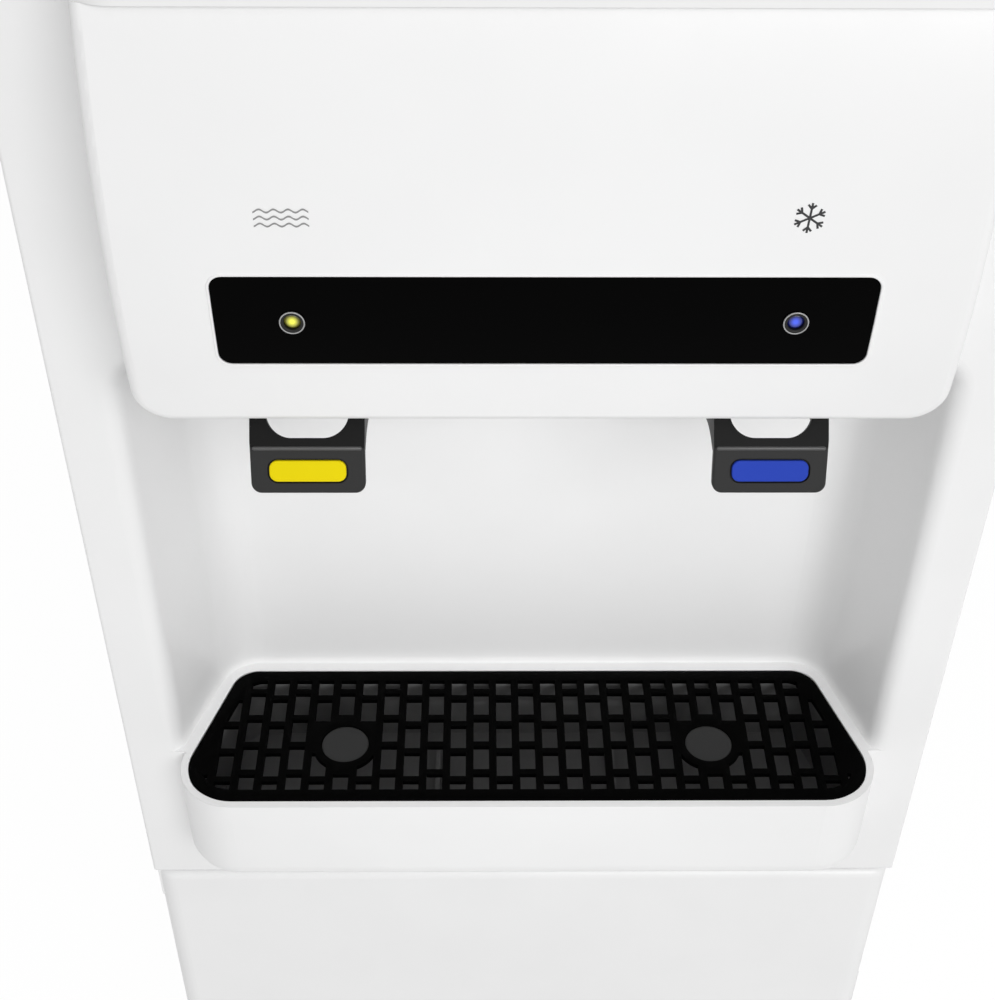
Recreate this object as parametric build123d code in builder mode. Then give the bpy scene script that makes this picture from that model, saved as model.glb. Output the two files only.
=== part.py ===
from build123d import *
from math import cos, hypot, pi, radians, sin, tan
import os

# A free-standing water cooler that draws from a bottle kept behind its lower door.
# Millimetres. +X is the cooler's right as seen from the front, +Y runs to the back, +Z up.
# The origin is the middle of the footprint, on the floor.

# ---- Cabinet ---------------------------------------------------------------------------
cabinet_width = 310.0
cabinet_depth = 330.0          # front of the stiles to the back of the rear panel
overall_height = 1040.0
head_stand = 35.0              # the bowed head panel stands this far in front of the stiles
condenser_stand = 17.0         # the condenser stands this far behind the rear panel
steel_sheet = 1.2
plastic_wall = 2.6
fit = 0.3                      # clearance between pieces that seat on each other
running_gap = 0.8              # clearance round pieces that move

front_y = -(head_stand + cabinet_depth + condenser_stand) / 2 + head_stand
rear_y = front_y + cabinet_depth
half_width = cabinet_width / 2

# ---- Levels: the feet count up from the floor, the front down from the top ---------------
foot_height = 15.0
base_pan_height = 24.0
door_bottom_z = 43.0
cover_height = 16.0
head_height = 128.0
alcove_height = 181.0
apron_height = 74.0            # from the gap over the door to the drip grate
head_top_z = overall_height - cover_height
head_bottom_z = head_top_z - head_height
ledge_z = head_bottom_z - alcove_height               # level of the drip grate's top
apron_bottom_z = ledge_z - apron_height
base_top_z = foot_height + base_pan_height

# ---- Front moulding, alcove and drip tray ----------------------------------------------
stile_width = 20.5             # beside the alcove's opening
alcove_half_front = half_width - stile_width
alcove_taper = 15.0            # the alcove's back wall is this much narrower at each side
alcove_half_back = alcove_half_front - alcove_taper
alcove_depth = 48.0
alcove_back_radius = 16.0
tray_front = 24.0              # the drip tray reaches this far in front of the stiles
tray_back = 43.0               # and this far behind them
tray_flare = 2.0               # wider at each side than the alcove's opening
tray_half_front = alcove_half_front + tray_flare
tray_back_inset = 3.5          # narrower at each side than the alcove's back wall
tray_half_back = alcove_half_back - tray_back_inset
tray_front_radius = 18.0
tray_back_radius = 10.0
ledge_rim = 3.4                # pale rim of the moulding round the drip tray
grate_gap = 0.5                # clearance between the grate and that rim
well_depth = 34.0
chin_height = 46.0             # height of the bulge under the drip tray
chin_radius = 10.0
opening_radius = 10.0          # upper edges of the alcove
opening_edge = 7.0             # rounding from the stiles into the alcove

# ---- Drip pan and grate ----------------------------------------------------------------
grate_thickness = 2.0
grate_rim = 5.2
grate_column_pitch = 9.05
grate_row_pitch = 13.9
grate_column_bar = 2.8
grate_row_bar = 2.8
grate_even_shift = 1.8         # rows of every second column lie behind the middle
grate_odd_shift = -1.5         # and those of the columns between lie in front of it
smallest_cell = 7.0            # square millimetres; smaller corner cells stay solid
disc_diameter = 18.5
disc_rim = 3.2
disc_recess = 0.9
disc_behind_stiles = 4.0
pan_wall = 2.0
pan_clearance = 0.6
pan_inset = 3.0                # the pan's walls stand in from the grate's edge

# ---- Head panel, display strip and lights ----------------------------------------------
head_inset = 33.5              # in from the cabinet's side
head_half_width = half_width - head_inset
head_corner_radius = 12.0
head_edge_radius = 3.6
bow_radius = 250.0             # side profile of the head's face
bow_level = 58.0               # level of its fullest point above the head's underside
strip_inset = 28.2             # in from the head's side
strip_width = 2 * (head_half_width - strip_inset)
strip_height = 31.0
strip_corner = 4.0
strip_level = 39.5             # centre of the strip above the head's underside
strip_thickness = 2.4
strip_setback = 0.25
outlet_inset = 84.0            # from the cabinet's side to the nearer outlet
outlet_half_spacing = half_width - outlet_inset       # also of lights, levers and tray discs
light_diameter = 4.8
bezel_width = 1.1
bezel_proud = 0.5
barrel_length = 9.0

# ---- Levers and outlets ----------------------------------------------------------------
lever_width = 35.2
lever_tab_height = 14.6        # along the leaning face of the tab
lever_tab_lean = 20.0          # degrees: the tab's lower edge stands forward
lever_wall = 2.6
crease_level = 170.4           # crease between tab and fork plate, above the ledge
crease_stand = 27.6            # and in front of the stiles
lever_plate_rise = 51.0        # degrees: slope of the fork plate
lever_cut_width = 25.6
lever_cut_corner = 8.0
lever_front_bar = 3.2          # plate left in front of the cut
lever_corner = 3.2
side_plate_stand = 4.0         # back edge of the side plates in front of the stiles
side_plate_low = 5.0           # their back lower corner below the crease
pad_width = 23.6
pad_height = 6.8
pad_corner = 2.6
pad_gap = 0.55                 # channel round the pad
pad_depth = 1.2
pad_proud = 0.4
pivot_level = 19.0             # lever pivot above the head's underside
pivot_stand = 12.0             # lever pivot in front of the stiles
pivot_diameter = 3.6
pivot_clearance = 0.2
ear_width = 8.5
ear_thickness = 2.4
lever_swing = 9.0              # degrees
lug_thickness = 2.8
spout_stand = 8.5              # spout centre in front of the stiles
spout_diameter = 12.0
spout_bore = 7.0
spout_drop = 8.0               # reach of the spout below the head's underside
valve_half_width = 10.5
valve_height = 22.0
valve_depth = 17.5

# ---- Door ------------------------------------------------------------------------------
door_thickness = 26.0
door_gap = 3.0
door_edge_radius = 8.0
door_wall = 2.5
door_top_radius = 4.0          # rounding along the door's top and bottom front edges
hinge_inset = 8.0              # hinge axis in from the door's left edge
hinge_pin_diameter = 7.0
hinge_pin_length = 13.0
bush_clearance = 0.3
grip_height = 110.0
grip_depth = 17.0
grip_width = 11.0
grip_drop = 138.0              # from the door's top to the grip's middle
door_liner_wall = 2.2

# ---- Bottle compartment and machine space ----------------------------------------------
liner_wall = 2.4
shelf_rise = 11.0              # from the front moulding's lower edge to the shelf
shelf_z = apron_bottom_z + shelf_rise                 # it carries the cooling set
shelf_sheet = 2.0
bottle_margin = 16.1           # from the compartment's side wall to the bottle
bottle_clearance = 4.0
bottle_floor_thickness = 8.0
bottle_recess = 3.0
flange_width = 12.0
compartment_rear_gap = 6.0
probe_tube_diameter = 12.0
probe_bore = 7.0
probe_length = 330.0
probe_collar_diameter = 52.0
probe_collar_height = 30.0
probe_drop = 92.0              # from the shelf to the underside of the probe's collar
probe_level = shelf_z - probe_drop
holder_thickness = 8.0
gland_diameter = 16.0
gland_stand = 120.0            # gland and pump stand this far behind the stiles

# ---- Cooling set -----------------------------------------------------------------------
tank_radius = 46.0
tank_height = 150.0
tank_wall = 1.6
tank_y = 190.0                 # from the stiles
foam_wall = 18.0
coil_tube_radius = 3.0
coil_pitch = 12.0
coil_turns = 7
compressor_x = -78.0           # between the left side panel and the tank
compressor_y = 245.0           # from the stiles
compressor_radius = 52.0
compressor_height = 118.0
mount_height = 12.0
mount_diameter = 22.0
mount_spacing = 84.0
condenser_tube_radius = 2.4
condenser_pitch = 72.0
condenser_inset = 60.0         # from the cabinet's side to the bends
condenser_half_width = half_width - condenser_inset
condenser_low_z = 190.0
condenser_drop = 274.0         # kept free above the condenser, up to the cooler's top
condenser_room = overall_height - condenser_drop - condenser_low_z
condenser_passes = 2 * int(condenser_room / (2 * condenser_pitch)) + 1    # always odd
condenser_top_z = condenser_low_z + (condenser_passes - 1) * condenser_pitch
wire_radius = 0.9
wire_count = 15
wire_overhang = 18.0
wire_edge_gap = 9.5            # from the bends in to the outermost wire

# ---- Back ------------------------------------------------------------------------------
rear_sheet = 1.0
louvre_width = 34.0
louvre_height = 4.0
louvre_pitch = 9.0
louvre_rows = 7
louvre_low_z = 80.0
louvre_drop = 105.0            # from the cooler's top to the upper louvres
louvre_high_z = overall_height - louvre_drop
screw_diameter = 3.6
screw_head_diameter = 8.0
screw_head_height = 2.2
switch_width = 14.0
switch_height = 21.0
switch_drop = 30.0             # from the lowest of the upper louvres to the switch
switch_level = louvre_high_z - switch_drop
fitting_inset = 37.0           # switch, inlet and drain stand this far in from the sides
switch_x = fitting_inset - half_width
rocker_tilt = 8.0
inlet_width = 27.0
inlet_height = 20.0
inlet_drop = 45.0              # from the switch to the inlet below it
inlet_level = switch_level - inlet_drop
inlet_x = switch_x
drain_bore = 9.0
drain_drop = 30.0              # from the inlet down to the drain
drain_x = half_width - fitting_inset
drain_level = inlet_level - drain_drop
screw_low_z = 90.0
screw_pitch = 210.0
screw_top_inset = 40.0         # the uppermost screws lie this far below the cooler's top
screw_levels = [screw_low_z + step * screw_pitch for step in range(4)]
screw_levels.append(overall_height - screw_top_inset)
strike_height = 30.0
bracket_sheet = 2.0
bracket_width = 34.0

os.makedirs("parts", exist_ok=True)

# ---- Places worked out from the values above -------------------------------------------
half_inner = half_width - steel_sheet
body_front_y = front_y + door_thickness + door_gap    # front edge of the steel cabinet
rear_panel_y = rear_y - steel_sheet                   # outer face of the rear panel
rear_inner_y = rear_panel_y - rear_sheet
spout_y = front_y - spout_stand
crease_y = front_y - crease_stand
crease_z = ledge_z + crease_level
rise = tan(radians(lever_plate_rise))
pivot_y = front_y - pivot_stand
pivot_z = head_bottom_z + pivot_level
hinge_x = -half_width + hinge_inset
hinge_y = front_y + door_thickness / 2
door_top_z = apron_bottom_z - door_gap
grip_level = door_top_z - grip_drop
base_front_y = body_front_y
shelf_top_z = shelf_z + shelf_sheet
outlets = (-outlet_half_spacing, outlet_half_spacing)
side_slope = (tray_half_front - tray_half_back) / (tray_front + tray_back)


def front_facing(y):
    """A plane seen from the front at depth y, with its own y axis pointing up."""
    return Plane(origin=(0, y, 0), x_dir=(1, 0, 0), z_dir=(0, -1, 0))


def tray_outline(inset, front_radius=tray_front_radius, back_radius=tray_back_radius):
    """Plan of the drip tray, a trapezoid with rounded corners, drawn in by inset."""
    front = front_y - tray_front + inset
    back = front_y + tray_back - inset
    half_front = tray_half_front - inset * (hypot(1, side_slope) + side_slope)
    half_back = tray_half_back - inset * (hypot(1, side_slope) - side_slope)
    with BuildSketch(mode=Mode.PRIVATE) as outline:
        with BuildLine():
            Polyline((-half_front, front), (half_front, front), (half_back, back),
                     (-half_back, back), close=True)
        make_face()
        corners = outline.vertices().group_by(Axis.Y)
        fillet(corners[0], front_radius - inset)
        fillet(outline.vertices().group_by(Axis.Y)[-1], back_radius - inset / 2)
    return outline.sketch


def alcove_outline(inset, front):
    """Plan of the alcove, open towards the front and rounded at the back corners."""
    slope = (alcove_half_front - alcove_half_back) / alcove_depth
    half_front = alcove_half_front + slope * (front_y - front) - inset
    half_back = alcove_half_back - inset
    back = front_y + alcove_depth - inset
    with BuildSketch(mode=Mode.PRIVATE) as outline:
        with BuildLine():
            Polyline((-half_front, front), (half_front, front), (half_back, back),
                     (-half_back, back), close=True)
        make_face()
        fillet(outline.vertices().group_by(Axis.Y)[-1], alcove_back_radius - inset)
    return outline.sketch


def wind(plane, radius, pitch, turns, wire):
    """One unbroken winding about the plane's z axis, with the least gap between turns."""
    def point(angle):
        return Vector(radius * cos(angle), radius * sin(angle), pitch * angle / (2 * pi))

    def heading(angle):
        return Vector(-radius * sin(angle), radius * cos(angle), pitch / (2 * pi)).normalized()

    # each quarter turn is two arcs that share their middle point and its tangent
    with BuildPart(mode=Mode.PRIVATE) as winding:
        with BuildLine() as path:
            for quarter in range(4 * turns):
                start, end = quarter * pi / 2, (quarter + 1) * pi / 2
                chord = point(end) - point(start)
                spread = chord.dot(heading(start) + heading(end))
                bend = 2 * (1 - heading(start).dot(heading(end)))
                arm = (-spread + (spread ** 2 + bend * chord.dot(chord)) ** 0.5) / bend
                middle = (point(start) + heading(start) * arm
                          + point(end) - heading(end) * arm) * 0.5
                middle_heading = (point(end) - heading(end) * arm
                                  - point(start) - heading(start) * arm).normalized()
                TangentArc(*[plane.from_local_coords(p) for p in (point(start), middle)],
                           tangent=turned(plane, heading(start)))
                TangentArc(*[plane.from_local_coords(p) for p in (middle, point(end))],
                           tangent=turned(plane, middle_heading))
        with BuildSketch(Plane(origin=path.line @ 0, z_dir=path.line % 0)):
            Circle(wire)
        sweep(path=path.line)
    samples = [point(step * pi / 18) for step in range(36 * turns + 1)]
    gap = min((a - b).length for i, a in enumerate(samples) for b in samples[i + 18:])
    print("least gap between turns", round(gap - 2 * wire, 2))
    return winding.part


def turned(plane, direction):
    """A direction given in the plane's own axes, in the model's axes."""
    return plane.x_dir * direction.X + plane.y_dir * direction.Y + plane.z_dir * direction.Z


# ---- Base pan and feet -----------------------------------------------------------------
# The pan is pressed from sheet steel; its rim stands up inside the side panels.
with BuildPart() as base_pan:
    with BuildSketch(Plane.XY.offset(foot_height)):
        with Locations((0, (base_front_y + rear_panel_y) / 2)):
            Rectangle(2 * half_inner, rear_panel_y - base_front_y)
    extrude(amount=base_pan_height)
    offset(amount=-steel_sheet, openings=base_pan.faces().sort_by(Axis.Z)[-1])
base_pan.part.label = "base_pan"
export_step(base_pan.part, "parts/base_pan.step")

foot_radius = 17.0
foot_inset = 34.0
foot_places = [(side * (half_inner - foot_inset), end)
               for side in (-1, 1)
               for end in (base_front_y + foot_inset, rear_inner_y - foot_inset)]
foot_pad_height = 7.0
stem_radius = 6.0
with BuildPart() as feet:
    with BuildSketch():
        with Locations(*foot_places):
            Circle(foot_radius)
    extrude(amount=foot_pad_height, taper=8)
    with BuildSketch(Plane.XY.offset(foot_pad_height)):
        with Locations(*foot_places):
            RegularPolygon(stem_radius, 6)
    extrude(amount=foot_height - foot_pad_height)
feet.part.label = "feet"
export_step(feet.part, "parts/feet.step")


# ---- Side panels -----------------------------------------------------------------------
# Each side is one painted sheet, folded in along its front and back edges.
screw_x = half_width - flange_width / 2
screw_places = [(side * screw_x, level) for side in (-1, 1) for level in screw_levels]


def side_panel(side):
    with BuildPart() as panel:
        with BuildSketch(Plane.XY.offset(foot_height)):
            with Locations((side * (half_width - flange_width / 2), (body_front_y + rear_y) / 2)):
                Rectangle(flange_width, rear_y - body_front_y)
            with Locations((side * (half_inner - flange_width / 2),
                            (body_front_y + rear_y) / 2)):
                Rectangle(flange_width, rear_y - body_front_y - 2 * steel_sheet,
                          mode=Mode.SUBTRACT)
        extrude(amount=head_top_z - foot_height)
        edges = panel.edges().filter_by(Axis.Z)
        if side < 0:
            outer = edges.group_by(Axis.X)[0]
        else:
            outer = edges.group_by(Axis.X)[-1]
        fillet(outer, steel_sheet * 0.8)
        # the folds are cut back where the front moulding and the base pan pass
        with BuildSketch(Plane.XY.offset(foot_height)):
            with Locations((side * (half_inner - flange_width / 2),
                            (body_front_y + rear_y) / 2)):
                Rectangle(flange_width, rear_y - body_front_y)
        extrude(amount=base_pan_height + fit, mode=Mode.SUBTRACT)
        with BuildSketch(front_facing(rear_y)):
            with Locations(*screw_places):
                Circle(screw_diameter / 2 + fit / 2)
        extrude(amount=2 * steel_sheet, both=True, mode=Mode.SUBTRACT)
    return panel.part


left_side_panel = side_panel(-1)
left_side_panel.label = "left_side_panel"
export_step(left_side_panel, "parts/left_side_panel.step")
right_side_panel = side_panel(1)
right_side_panel.label = "right_side_panel"
export_step(right_side_panel, "parts/right_side_panel.step")

# ---- Front frame -----------------------------------------------------------------------
# One moulding makes the stiles beside the alcove, the header behind the head panel, the
# alcove's walls and ceiling, the ledge and the well of the drip pan, whose front bulges out
# as a chin. The stiles turn into the alcove with a wide rounding.
frame_depth = body_front_y - front_y - fit
line_hole = 11.0               # passage of each water line through the header
line_level = 20.0              # lines above the head's underside
collar = opening_edge + plastic_wall / 2
chin_low_z = ledge_z - chin_height
collar_low_z = chin_low_z - plastic_wall
pocket_depth = chin_height - well_depth - 2 * plastic_wall
pocket_front = front_y - tray_front + plastic_wall
pocket_back = front_y + tray_back + 2 * ledge_rim

with BuildPart() as chin:
    with BuildSketch(Plane.XY.offset(ledge_z)):
        add(tray_outline(-ledge_rim))
    extrude(amount=-chin_height)
    fillet(chin.faces().sort_by(Axis.Z)[0].edges(), chin_radius)

with BuildPart() as alcove_space:
    with BuildSketch(Plane.XY.offset(ledge_z)):
        add(alcove_outline(0, front_y - tray_front))
    extrude(amount=alcove_height)
    ceiling = alcove_space.faces().sort_by(Axis.Z)[-1]
    fillet(ceiling.edges().sort_by(Axis.Y)[1:], opening_radius)

with BuildPart() as front_frame:
    with BuildSketch(front_facing(front_y)):
        with Locations((0, (apron_bottom_z + head_top_z) / 2)):
            Rectangle(cabinet_width, head_top_z - apron_bottom_z)
    extrude(amount=-frame_depth)
    offset(amount=-plastic_wall, openings=front_frame.faces().sort_by(Axis.Y)[-1])
    outer_edges = front_frame.faces().sort_by(Axis.Y)[0].edges().filter_by(Axis.Z)
    fillet(outer_edges, plastic_wall * 0.5)
    # the wall is thicker round the alcove, where its edge is rounded
    with BuildSketch(front_facing(front_y)):
        with Locations((0, (collar_low_z + head_bottom_z + collar) / 2)):
            Rectangle(2 * (alcove_half_front + collar), head_bottom_z + collar - collar_low_z)
    extrude(amount=-collar)
    with BuildSketch(Plane.XY.offset(ledge_z - plastic_wall)):
        add(alcove_outline(-plastic_wall, front_y))
    extrude(amount=alcove_height + 2 * plastic_wall)
    add(chin.part)
    add(alcove_space.part, mode=Mode.SUBTRACT)
    rim = front_frame.edges().filter_by(
        lambda edge: abs(edge.center().Y - front_y) < fit and edge.center().Z > ledge_z + fit
        and abs(edge.center().X) < alcove_half_front + fit
        and edge.center().Z < head_bottom_z + fit)
    fillet(rim, opening_edge)
    with BuildSketch(Plane.XY.offset(ledge_z)):
        add(tray_outline(-grate_gap))
    extrude(amount=-well_depth, mode=Mode.SUBTRACT)
    # the chin is hollow behind its skin, below the well
    with BuildSketch(Plane.XY.offset(ledge_z - well_depth - plastic_wall)):
        with Locations((0, (pocket_front + pocket_back) / 2)):
            Rectangle(2 * (tray_half_back - tray_back_radius), pocket_back - pocket_front)
    extrude(amount=-pocket_depth, mode=Mode.SUBTRACT)
    with BuildSketch(front_facing(front_y)):
        with Locations(*[(x, head_bottom_z + line_level) for x in outlets]):
            Circle(line_hole / 2)
    extrude(amount=-plastic_wall, mode=Mode.SUBTRACT)
front_frame.part.label = "front_frame"
export_step(front_frame.part, "parts/front_frame.step")

# ---- Drip pan and grate ----------------------------------------------------------------
# The pan lifts out of the well; the grate lies on its edge and lifts out by itself.
pan_top_z = ledge_z - grate_thickness - fit
pan_floor_z = ledge_z - well_depth + fit
rib_height = 6.0
with BuildPart() as drip_pan:
    with BuildSketch(Plane.XY.offset(pan_floor_z)):
        add(tray_outline(pan_inset))
    extrude(amount=pan_top_z - pan_floor_z)
    with BuildSketch(Plane.XY.offset(pan_floor_z + pan_wall)):
        add(tray_outline(pan_inset + pan_wall))
    extrude(amount=pan_top_z - pan_floor_z, mode=Mode.SUBTRACT)
    # a low rib across the floor keeps the water from rushing to one end
    with BuildSketch(Plane.XY.offset(pan_floor_z + pan_wall)):
        with Locations(*[(x / 2, front_y + (tray_back - tray_front) / 2) for x in outlets]):
            Rectangle(pan_wall, (tray_back + tray_front) / 2)
    extrude(amount=rib_height)
drip_pan.part.label = "drip_pan"
export_step(drip_pan.part, "parts/drip_pan.step")

cell_width = grate_column_pitch - grate_column_bar
cell_height = grate_row_pitch - grate_row_bar
grate_columns = int(tray_half_front / grate_column_pitch) + 1
grate_rows = int((tray_front + tray_back) / grate_row_pitch) + 2
grate_middle_y = front_y + (tray_back - tray_front) / 2
disc_y = front_y + disc_behind_stiles
with BuildPart() as drip_grate:
    with BuildSketch(Plane.XY.offset(ledge_z)):
        add(tray_outline(0))
    extrude(amount=-grate_thickness)
    with BuildSketch(Plane.XY.offset(ledge_z)) as cells:
        with Locations((0, grate_middle_y + grate_even_shift)):
            with GridLocations(2 * grate_column_pitch, grate_row_pitch,
                               grate_columns + 1 - grate_columns % 2, grate_rows):
                Rectangle(cell_width, cell_height)
        with Locations((0, grate_middle_y + grate_odd_shift)):
            with GridLocations(2 * grate_column_pitch, grate_row_pitch,
                               grate_columns + grate_columns % 2, grate_rows):
                Rectangle(cell_width, cell_height)
        add(tray_outline(grate_rim), mode=Mode.INTERSECT)
        with Locations(*[(x, disc_y) for x in outlets]):
            Circle(disc_diameter / 2 + disc_rim, mode=Mode.SUBTRACT)
    open_cells = [face for face in cells.sketch.faces() if face.area > smallest_cell]
    extrude(open_cells, amount=-grate_thickness, mode=Mode.SUBTRACT)
    with BuildSketch(Plane.XY.offset(ledge_z)):
        with Locations(*[(x, disc_y) for x in outlets]):
            Circle(disc_diameter / 2)
    extrude(amount=-disc_recess, mode=Mode.SUBTRACT)
drip_grate.part.label = "drip_grate"
export_step(drip_grate.part, "parts/drip_grate.step")

# ---- Head panel ------------------------------------------------------------------------
# A bowed cover in front of the header, with lugs inside for the two levers.
bow_centre_y = front_y - head_stand + bow_radius
bow_z = head_bottom_z + bow_level


def bowed_block(outline, setback, back_y):
    """The outline, seen from the front, made solid from the bowed face back to back_y."""
    with BuildPart(mode=Mode.PRIVATE) as block:
        with BuildSketch(front_facing(front_y - head_stand)):
            add(outline)
        extrude(amount=front_y - head_stand - back_y)
        with BuildSketch(Plane.YZ.offset(-half_width)):
            with Locations((bow_centre_y, bow_z)):
                Circle(bow_radius - setback)
        extrude(amount=cabinet_width, mode=Mode.INTERSECT)
    return block.part


with BuildSketch() as head_outline:
    with Locations((0, head_bottom_z + head_height / 2)):
        Rectangle(2 * head_half_width, head_height)
    fillet(head_outline.vertices().group_by(Axis.Y)[0], head_corner_radius)

with BuildSketch() as strip_outline:
    with Locations((0, head_bottom_z + strip_level)):
        RectangleRounded(strip_width, strip_height, strip_corner)

slot_front_y = crease_y + (head_bottom_z - crease_z) / rise - 2 * running_gap
slot_half_width = lever_width / 2 + running_gap
lug_front_y = pivot_y - ear_width / 2 - 10 * running_gap
lug_back_y = pivot_y + ear_width
lug_rise = 12.0                # lugs above the pivot
light_z = head_bottom_z + strip_level
bezel_radius = light_diameter / 2 + bezel_width
with BuildSketch() as boss_outline:
    with Locations((0, light_z)):
        Rectangle(strip_width + 2 * plastic_wall, strip_height + 2 * plastic_wall)
strip_boss = bowed_block(boss_outline.sketch, plastic_wall / 2,
                         front_y - head_stand + strip_thickness + 2 * plastic_wall)
with BuildPart() as strip_seat:
    add(bowed_block(strip_outline.sketch, -plastic_wall, front_y - head_stand / 2))
    add(bowed_block(strip_outline.sketch, strip_thickness + strip_setback, front_y),
        mode=Mode.SUBTRACT)

with BuildPart() as head_panel:
    add(bowed_block(head_outline.sketch, 0, front_y - fit))
    rounded = head_panel.edges().filter_by(lambda edge: edge.center().Y < front_y - head_stand / 2
                                           and edge.center().Z < head_top_z - fit)
    fillet(rounded, head_edge_radius)
    offset(amount=-plastic_wall, openings=head_panel.faces().sort_by(Axis.Y)[-1])
    # boss behind the strip's seat, then the seat and the holes of the lights
    add(strip_boss)
    add(strip_seat.part, mode=Mode.SUBTRACT)
    with BuildSketch(front_facing(front_y - head_stand)):
        with Locations(*[(x, light_z) for x in outlets]):
            Circle(bezel_radius + fit)
    extrude(amount=-head_stand / 2, mode=Mode.SUBTRACT)
    # slots that the levers swing in
    with BuildSketch(Plane.XY.offset(head_bottom_z)):
        with Locations(*[(x, (slot_front_y + front_y) / 2) for x in outlets]):
            Rectangle(2 * slot_half_width, front_y - slot_front_y)
    extrude(amount=plastic_wall, mode=Mode.SUBTRACT)
    for x in outlets:
        for side in (-1, 1):
            start_x = x + side * slot_half_width
            with BuildSketch(Plane.YZ.offset(start_x)):
                with Locations(((lug_front_y + lug_back_y) / 2,
                                (head_bottom_z + pivot_z + lug_rise) / 2)):
                    Rectangle(lug_back_y - lug_front_y, pivot_z + lug_rise - head_bottom_z)
            extrude(amount=side * lug_thickness)
    with BuildSketch(Plane.YZ.offset(-half_width)):
        with Locations((pivot_y, pivot_z)):
            Circle(pivot_diameter / 2)
    extrude(amount=cabinet_width, mode=Mode.SUBTRACT)
head_panel.part.label = "head_panel"
export_step(head_panel.part, "parts/head_panel.step")

# ---- Display strip and lights ----------------------------------------------------------
with BuildPart() as display_strip:
    add(bowed_block(strip_outline.sketch, strip_setback, front_y - head_stand / 2))
    add(bowed_block(strip_outline.sketch, strip_setback + strip_thickness, front_y),
        mode=Mode.SUBTRACT)
    with BuildSketch(front_facing(front_y - head_stand)) as smaller:
        with Locations((0, light_z)):
            RectangleRounded(strip_width - 2 * fit, strip_height - 2 * fit, strip_corner - fit)
    extrude(amount=-head_stand, mode=Mode.INTERSECT)
    with BuildSketch(front_facing(front_y - head_stand)):
        with Locations(*[(x, light_z) for x in outlets]):
            Circle(bezel_radius)
    extrude(amount=-head_stand, mode=Mode.SUBTRACT)
display_strip.part.label = "display_strip"
export_step(display_strip.part, "parts/display_strip.step")

# each light is a turned ring with a domed lens, pushed through strip and panel
light_y = bow_centre_y - (bow_radius ** 2 - (light_z - bow_z) ** 2) ** 0.5 - bezel_proud
with BuildPart() as led_bezels:
    with BuildSketch(front_facing(light_y)):
        with Locations(*[(x, light_z) for x in outlets]):
            Circle(bezel_radius)
            Circle(light_diameter / 2, mode=Mode.SUBTRACT)
    extrude(amount=-barrel_length)
    chamfer(led_bezels.edges().group_by(Axis.Y)[0], bezel_proud / 2)
led_bezels.part.label = "led_bezels"
export_step(led_bezels.part, "parts/led_bezels.step")

lens_dome = 0.8
for name, x in zip(("room_light", "cold_light"), outlets):
    with BuildPart() as light:
        with BuildSketch(front_facing(light_y + lens_dome)):
            with Locations((x, light_z)):
                Circle(light_diameter / 2)
        extrude(amount=-barrel_length)
        fillet(light.edges().group_by(Axis.Y)[0], lens_dome)
    light.part.label = name
    export_step(light.part, f"parts/{name}.step")

# ---- Levers ----------------------------------------------------------------------------
# Each lever hangs on two ears. Its fork passes round the spout, so that a cup pressed on
# the tab swings it back without touching the spout.
fork_back = crease_stand - pivot_stand + ear_width / 2       # run of the fork's arms
ear_rise = 7.5
edge_softening = 0.8
lean = radians(lever_tab_lean)
slope = radians(lever_plate_rise)


def tab_plane(x):
    """The tab's front face: it leans back, with its own y axis up the face."""
    return Plane(origin=(x, crease_y, crease_z), x_dir=(1, 0, 0),
                 z_dir=(0, -cos(lean), sin(lean)))


def lever(x):
    with BuildPart() as body:
        arm_length = fork_back / cos(slope)
        fork = Plane(origin=(x, crease_y, crease_z), x_dir=(1, 0, 0),
                     z_dir=(0, -sin(slope), cos(slope)))
        with BuildSketch(fork):
            with Locations((0, arm_length / 2)):
                Rectangle(lever_width, arm_length)
        extrude(amount=-lever_wall)
        with BuildSketch(tab_plane(x)):
            with Locations((0, -lever_tab_height / 2)):
                Rectangle(lever_width, lever_tab_height)
        extrude(amount=-lever_wall)
        for side in (-1, 1):
            with BuildSketch(Plane.YZ.offset(x + side * lever_width / 2)):
                with BuildLine():
                    ear_front = pivot_y - ear_width / 2
                    back = front_y - side_plate_stand
                    inner = (crease_y + lever_wall, crease_z - lever_wall)
                    Polyline(inner, (crease_y, crease_z),
                             (ear_front, crease_z + (ear_front - crease_y) * rise),
                             (ear_front, pivot_z + ear_rise), (back, pivot_z + ear_rise),
                             (back, crease_z - side_plate_low))
                    Spline((back, crease_z - side_plate_low),
                           ((back + inner[0]) / 2, crease_z - side_plate_low / 3), inner)
                make_face()
            extrude(amount=-side * ear_thickness)
        with BuildSketch(fork):
            with Locations((0, lever_front_bar + arm_length)):
                RectangleRounded(lever_cut_width, 2 * arm_length, lever_cut_corner)
        extrude(amount=-2 * lever_wall, both=True, mode=Mode.SUBTRACT)
        with BuildSketch(Plane.YZ.offset(x - lever_width)):
            with Locations((pivot_y, pivot_z)):
                Circle(pivot_diameter / 2 + pivot_clearance)
        extrude(amount=2 * lever_width, mode=Mode.SUBTRACT)
        lower_end = body.faces().sort_by(Axis.Z)[0]
        fillet(lower_end.edges().filter_by(lambda edge: abs(edge.tangent_at().X) < fit),
               lever_corner)
        above_tab = tab_plane(x).from_local_coords((0, -pad_height, fit))
        fillet(body.faces().sort_by_distance(above_tab)[0].edges(), edge_softening)
        with BuildSketch(tab_plane(x)):
            with Locations((0, -lever_tab_height / 2)):
                RectangleRounded(pad_width + 2 * pad_gap, pad_height + 2 * pad_gap,
                                 pad_corner + pad_gap)
        extrude(amount=-pad_depth, mode=Mode.SUBTRACT)
    return body.part


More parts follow.
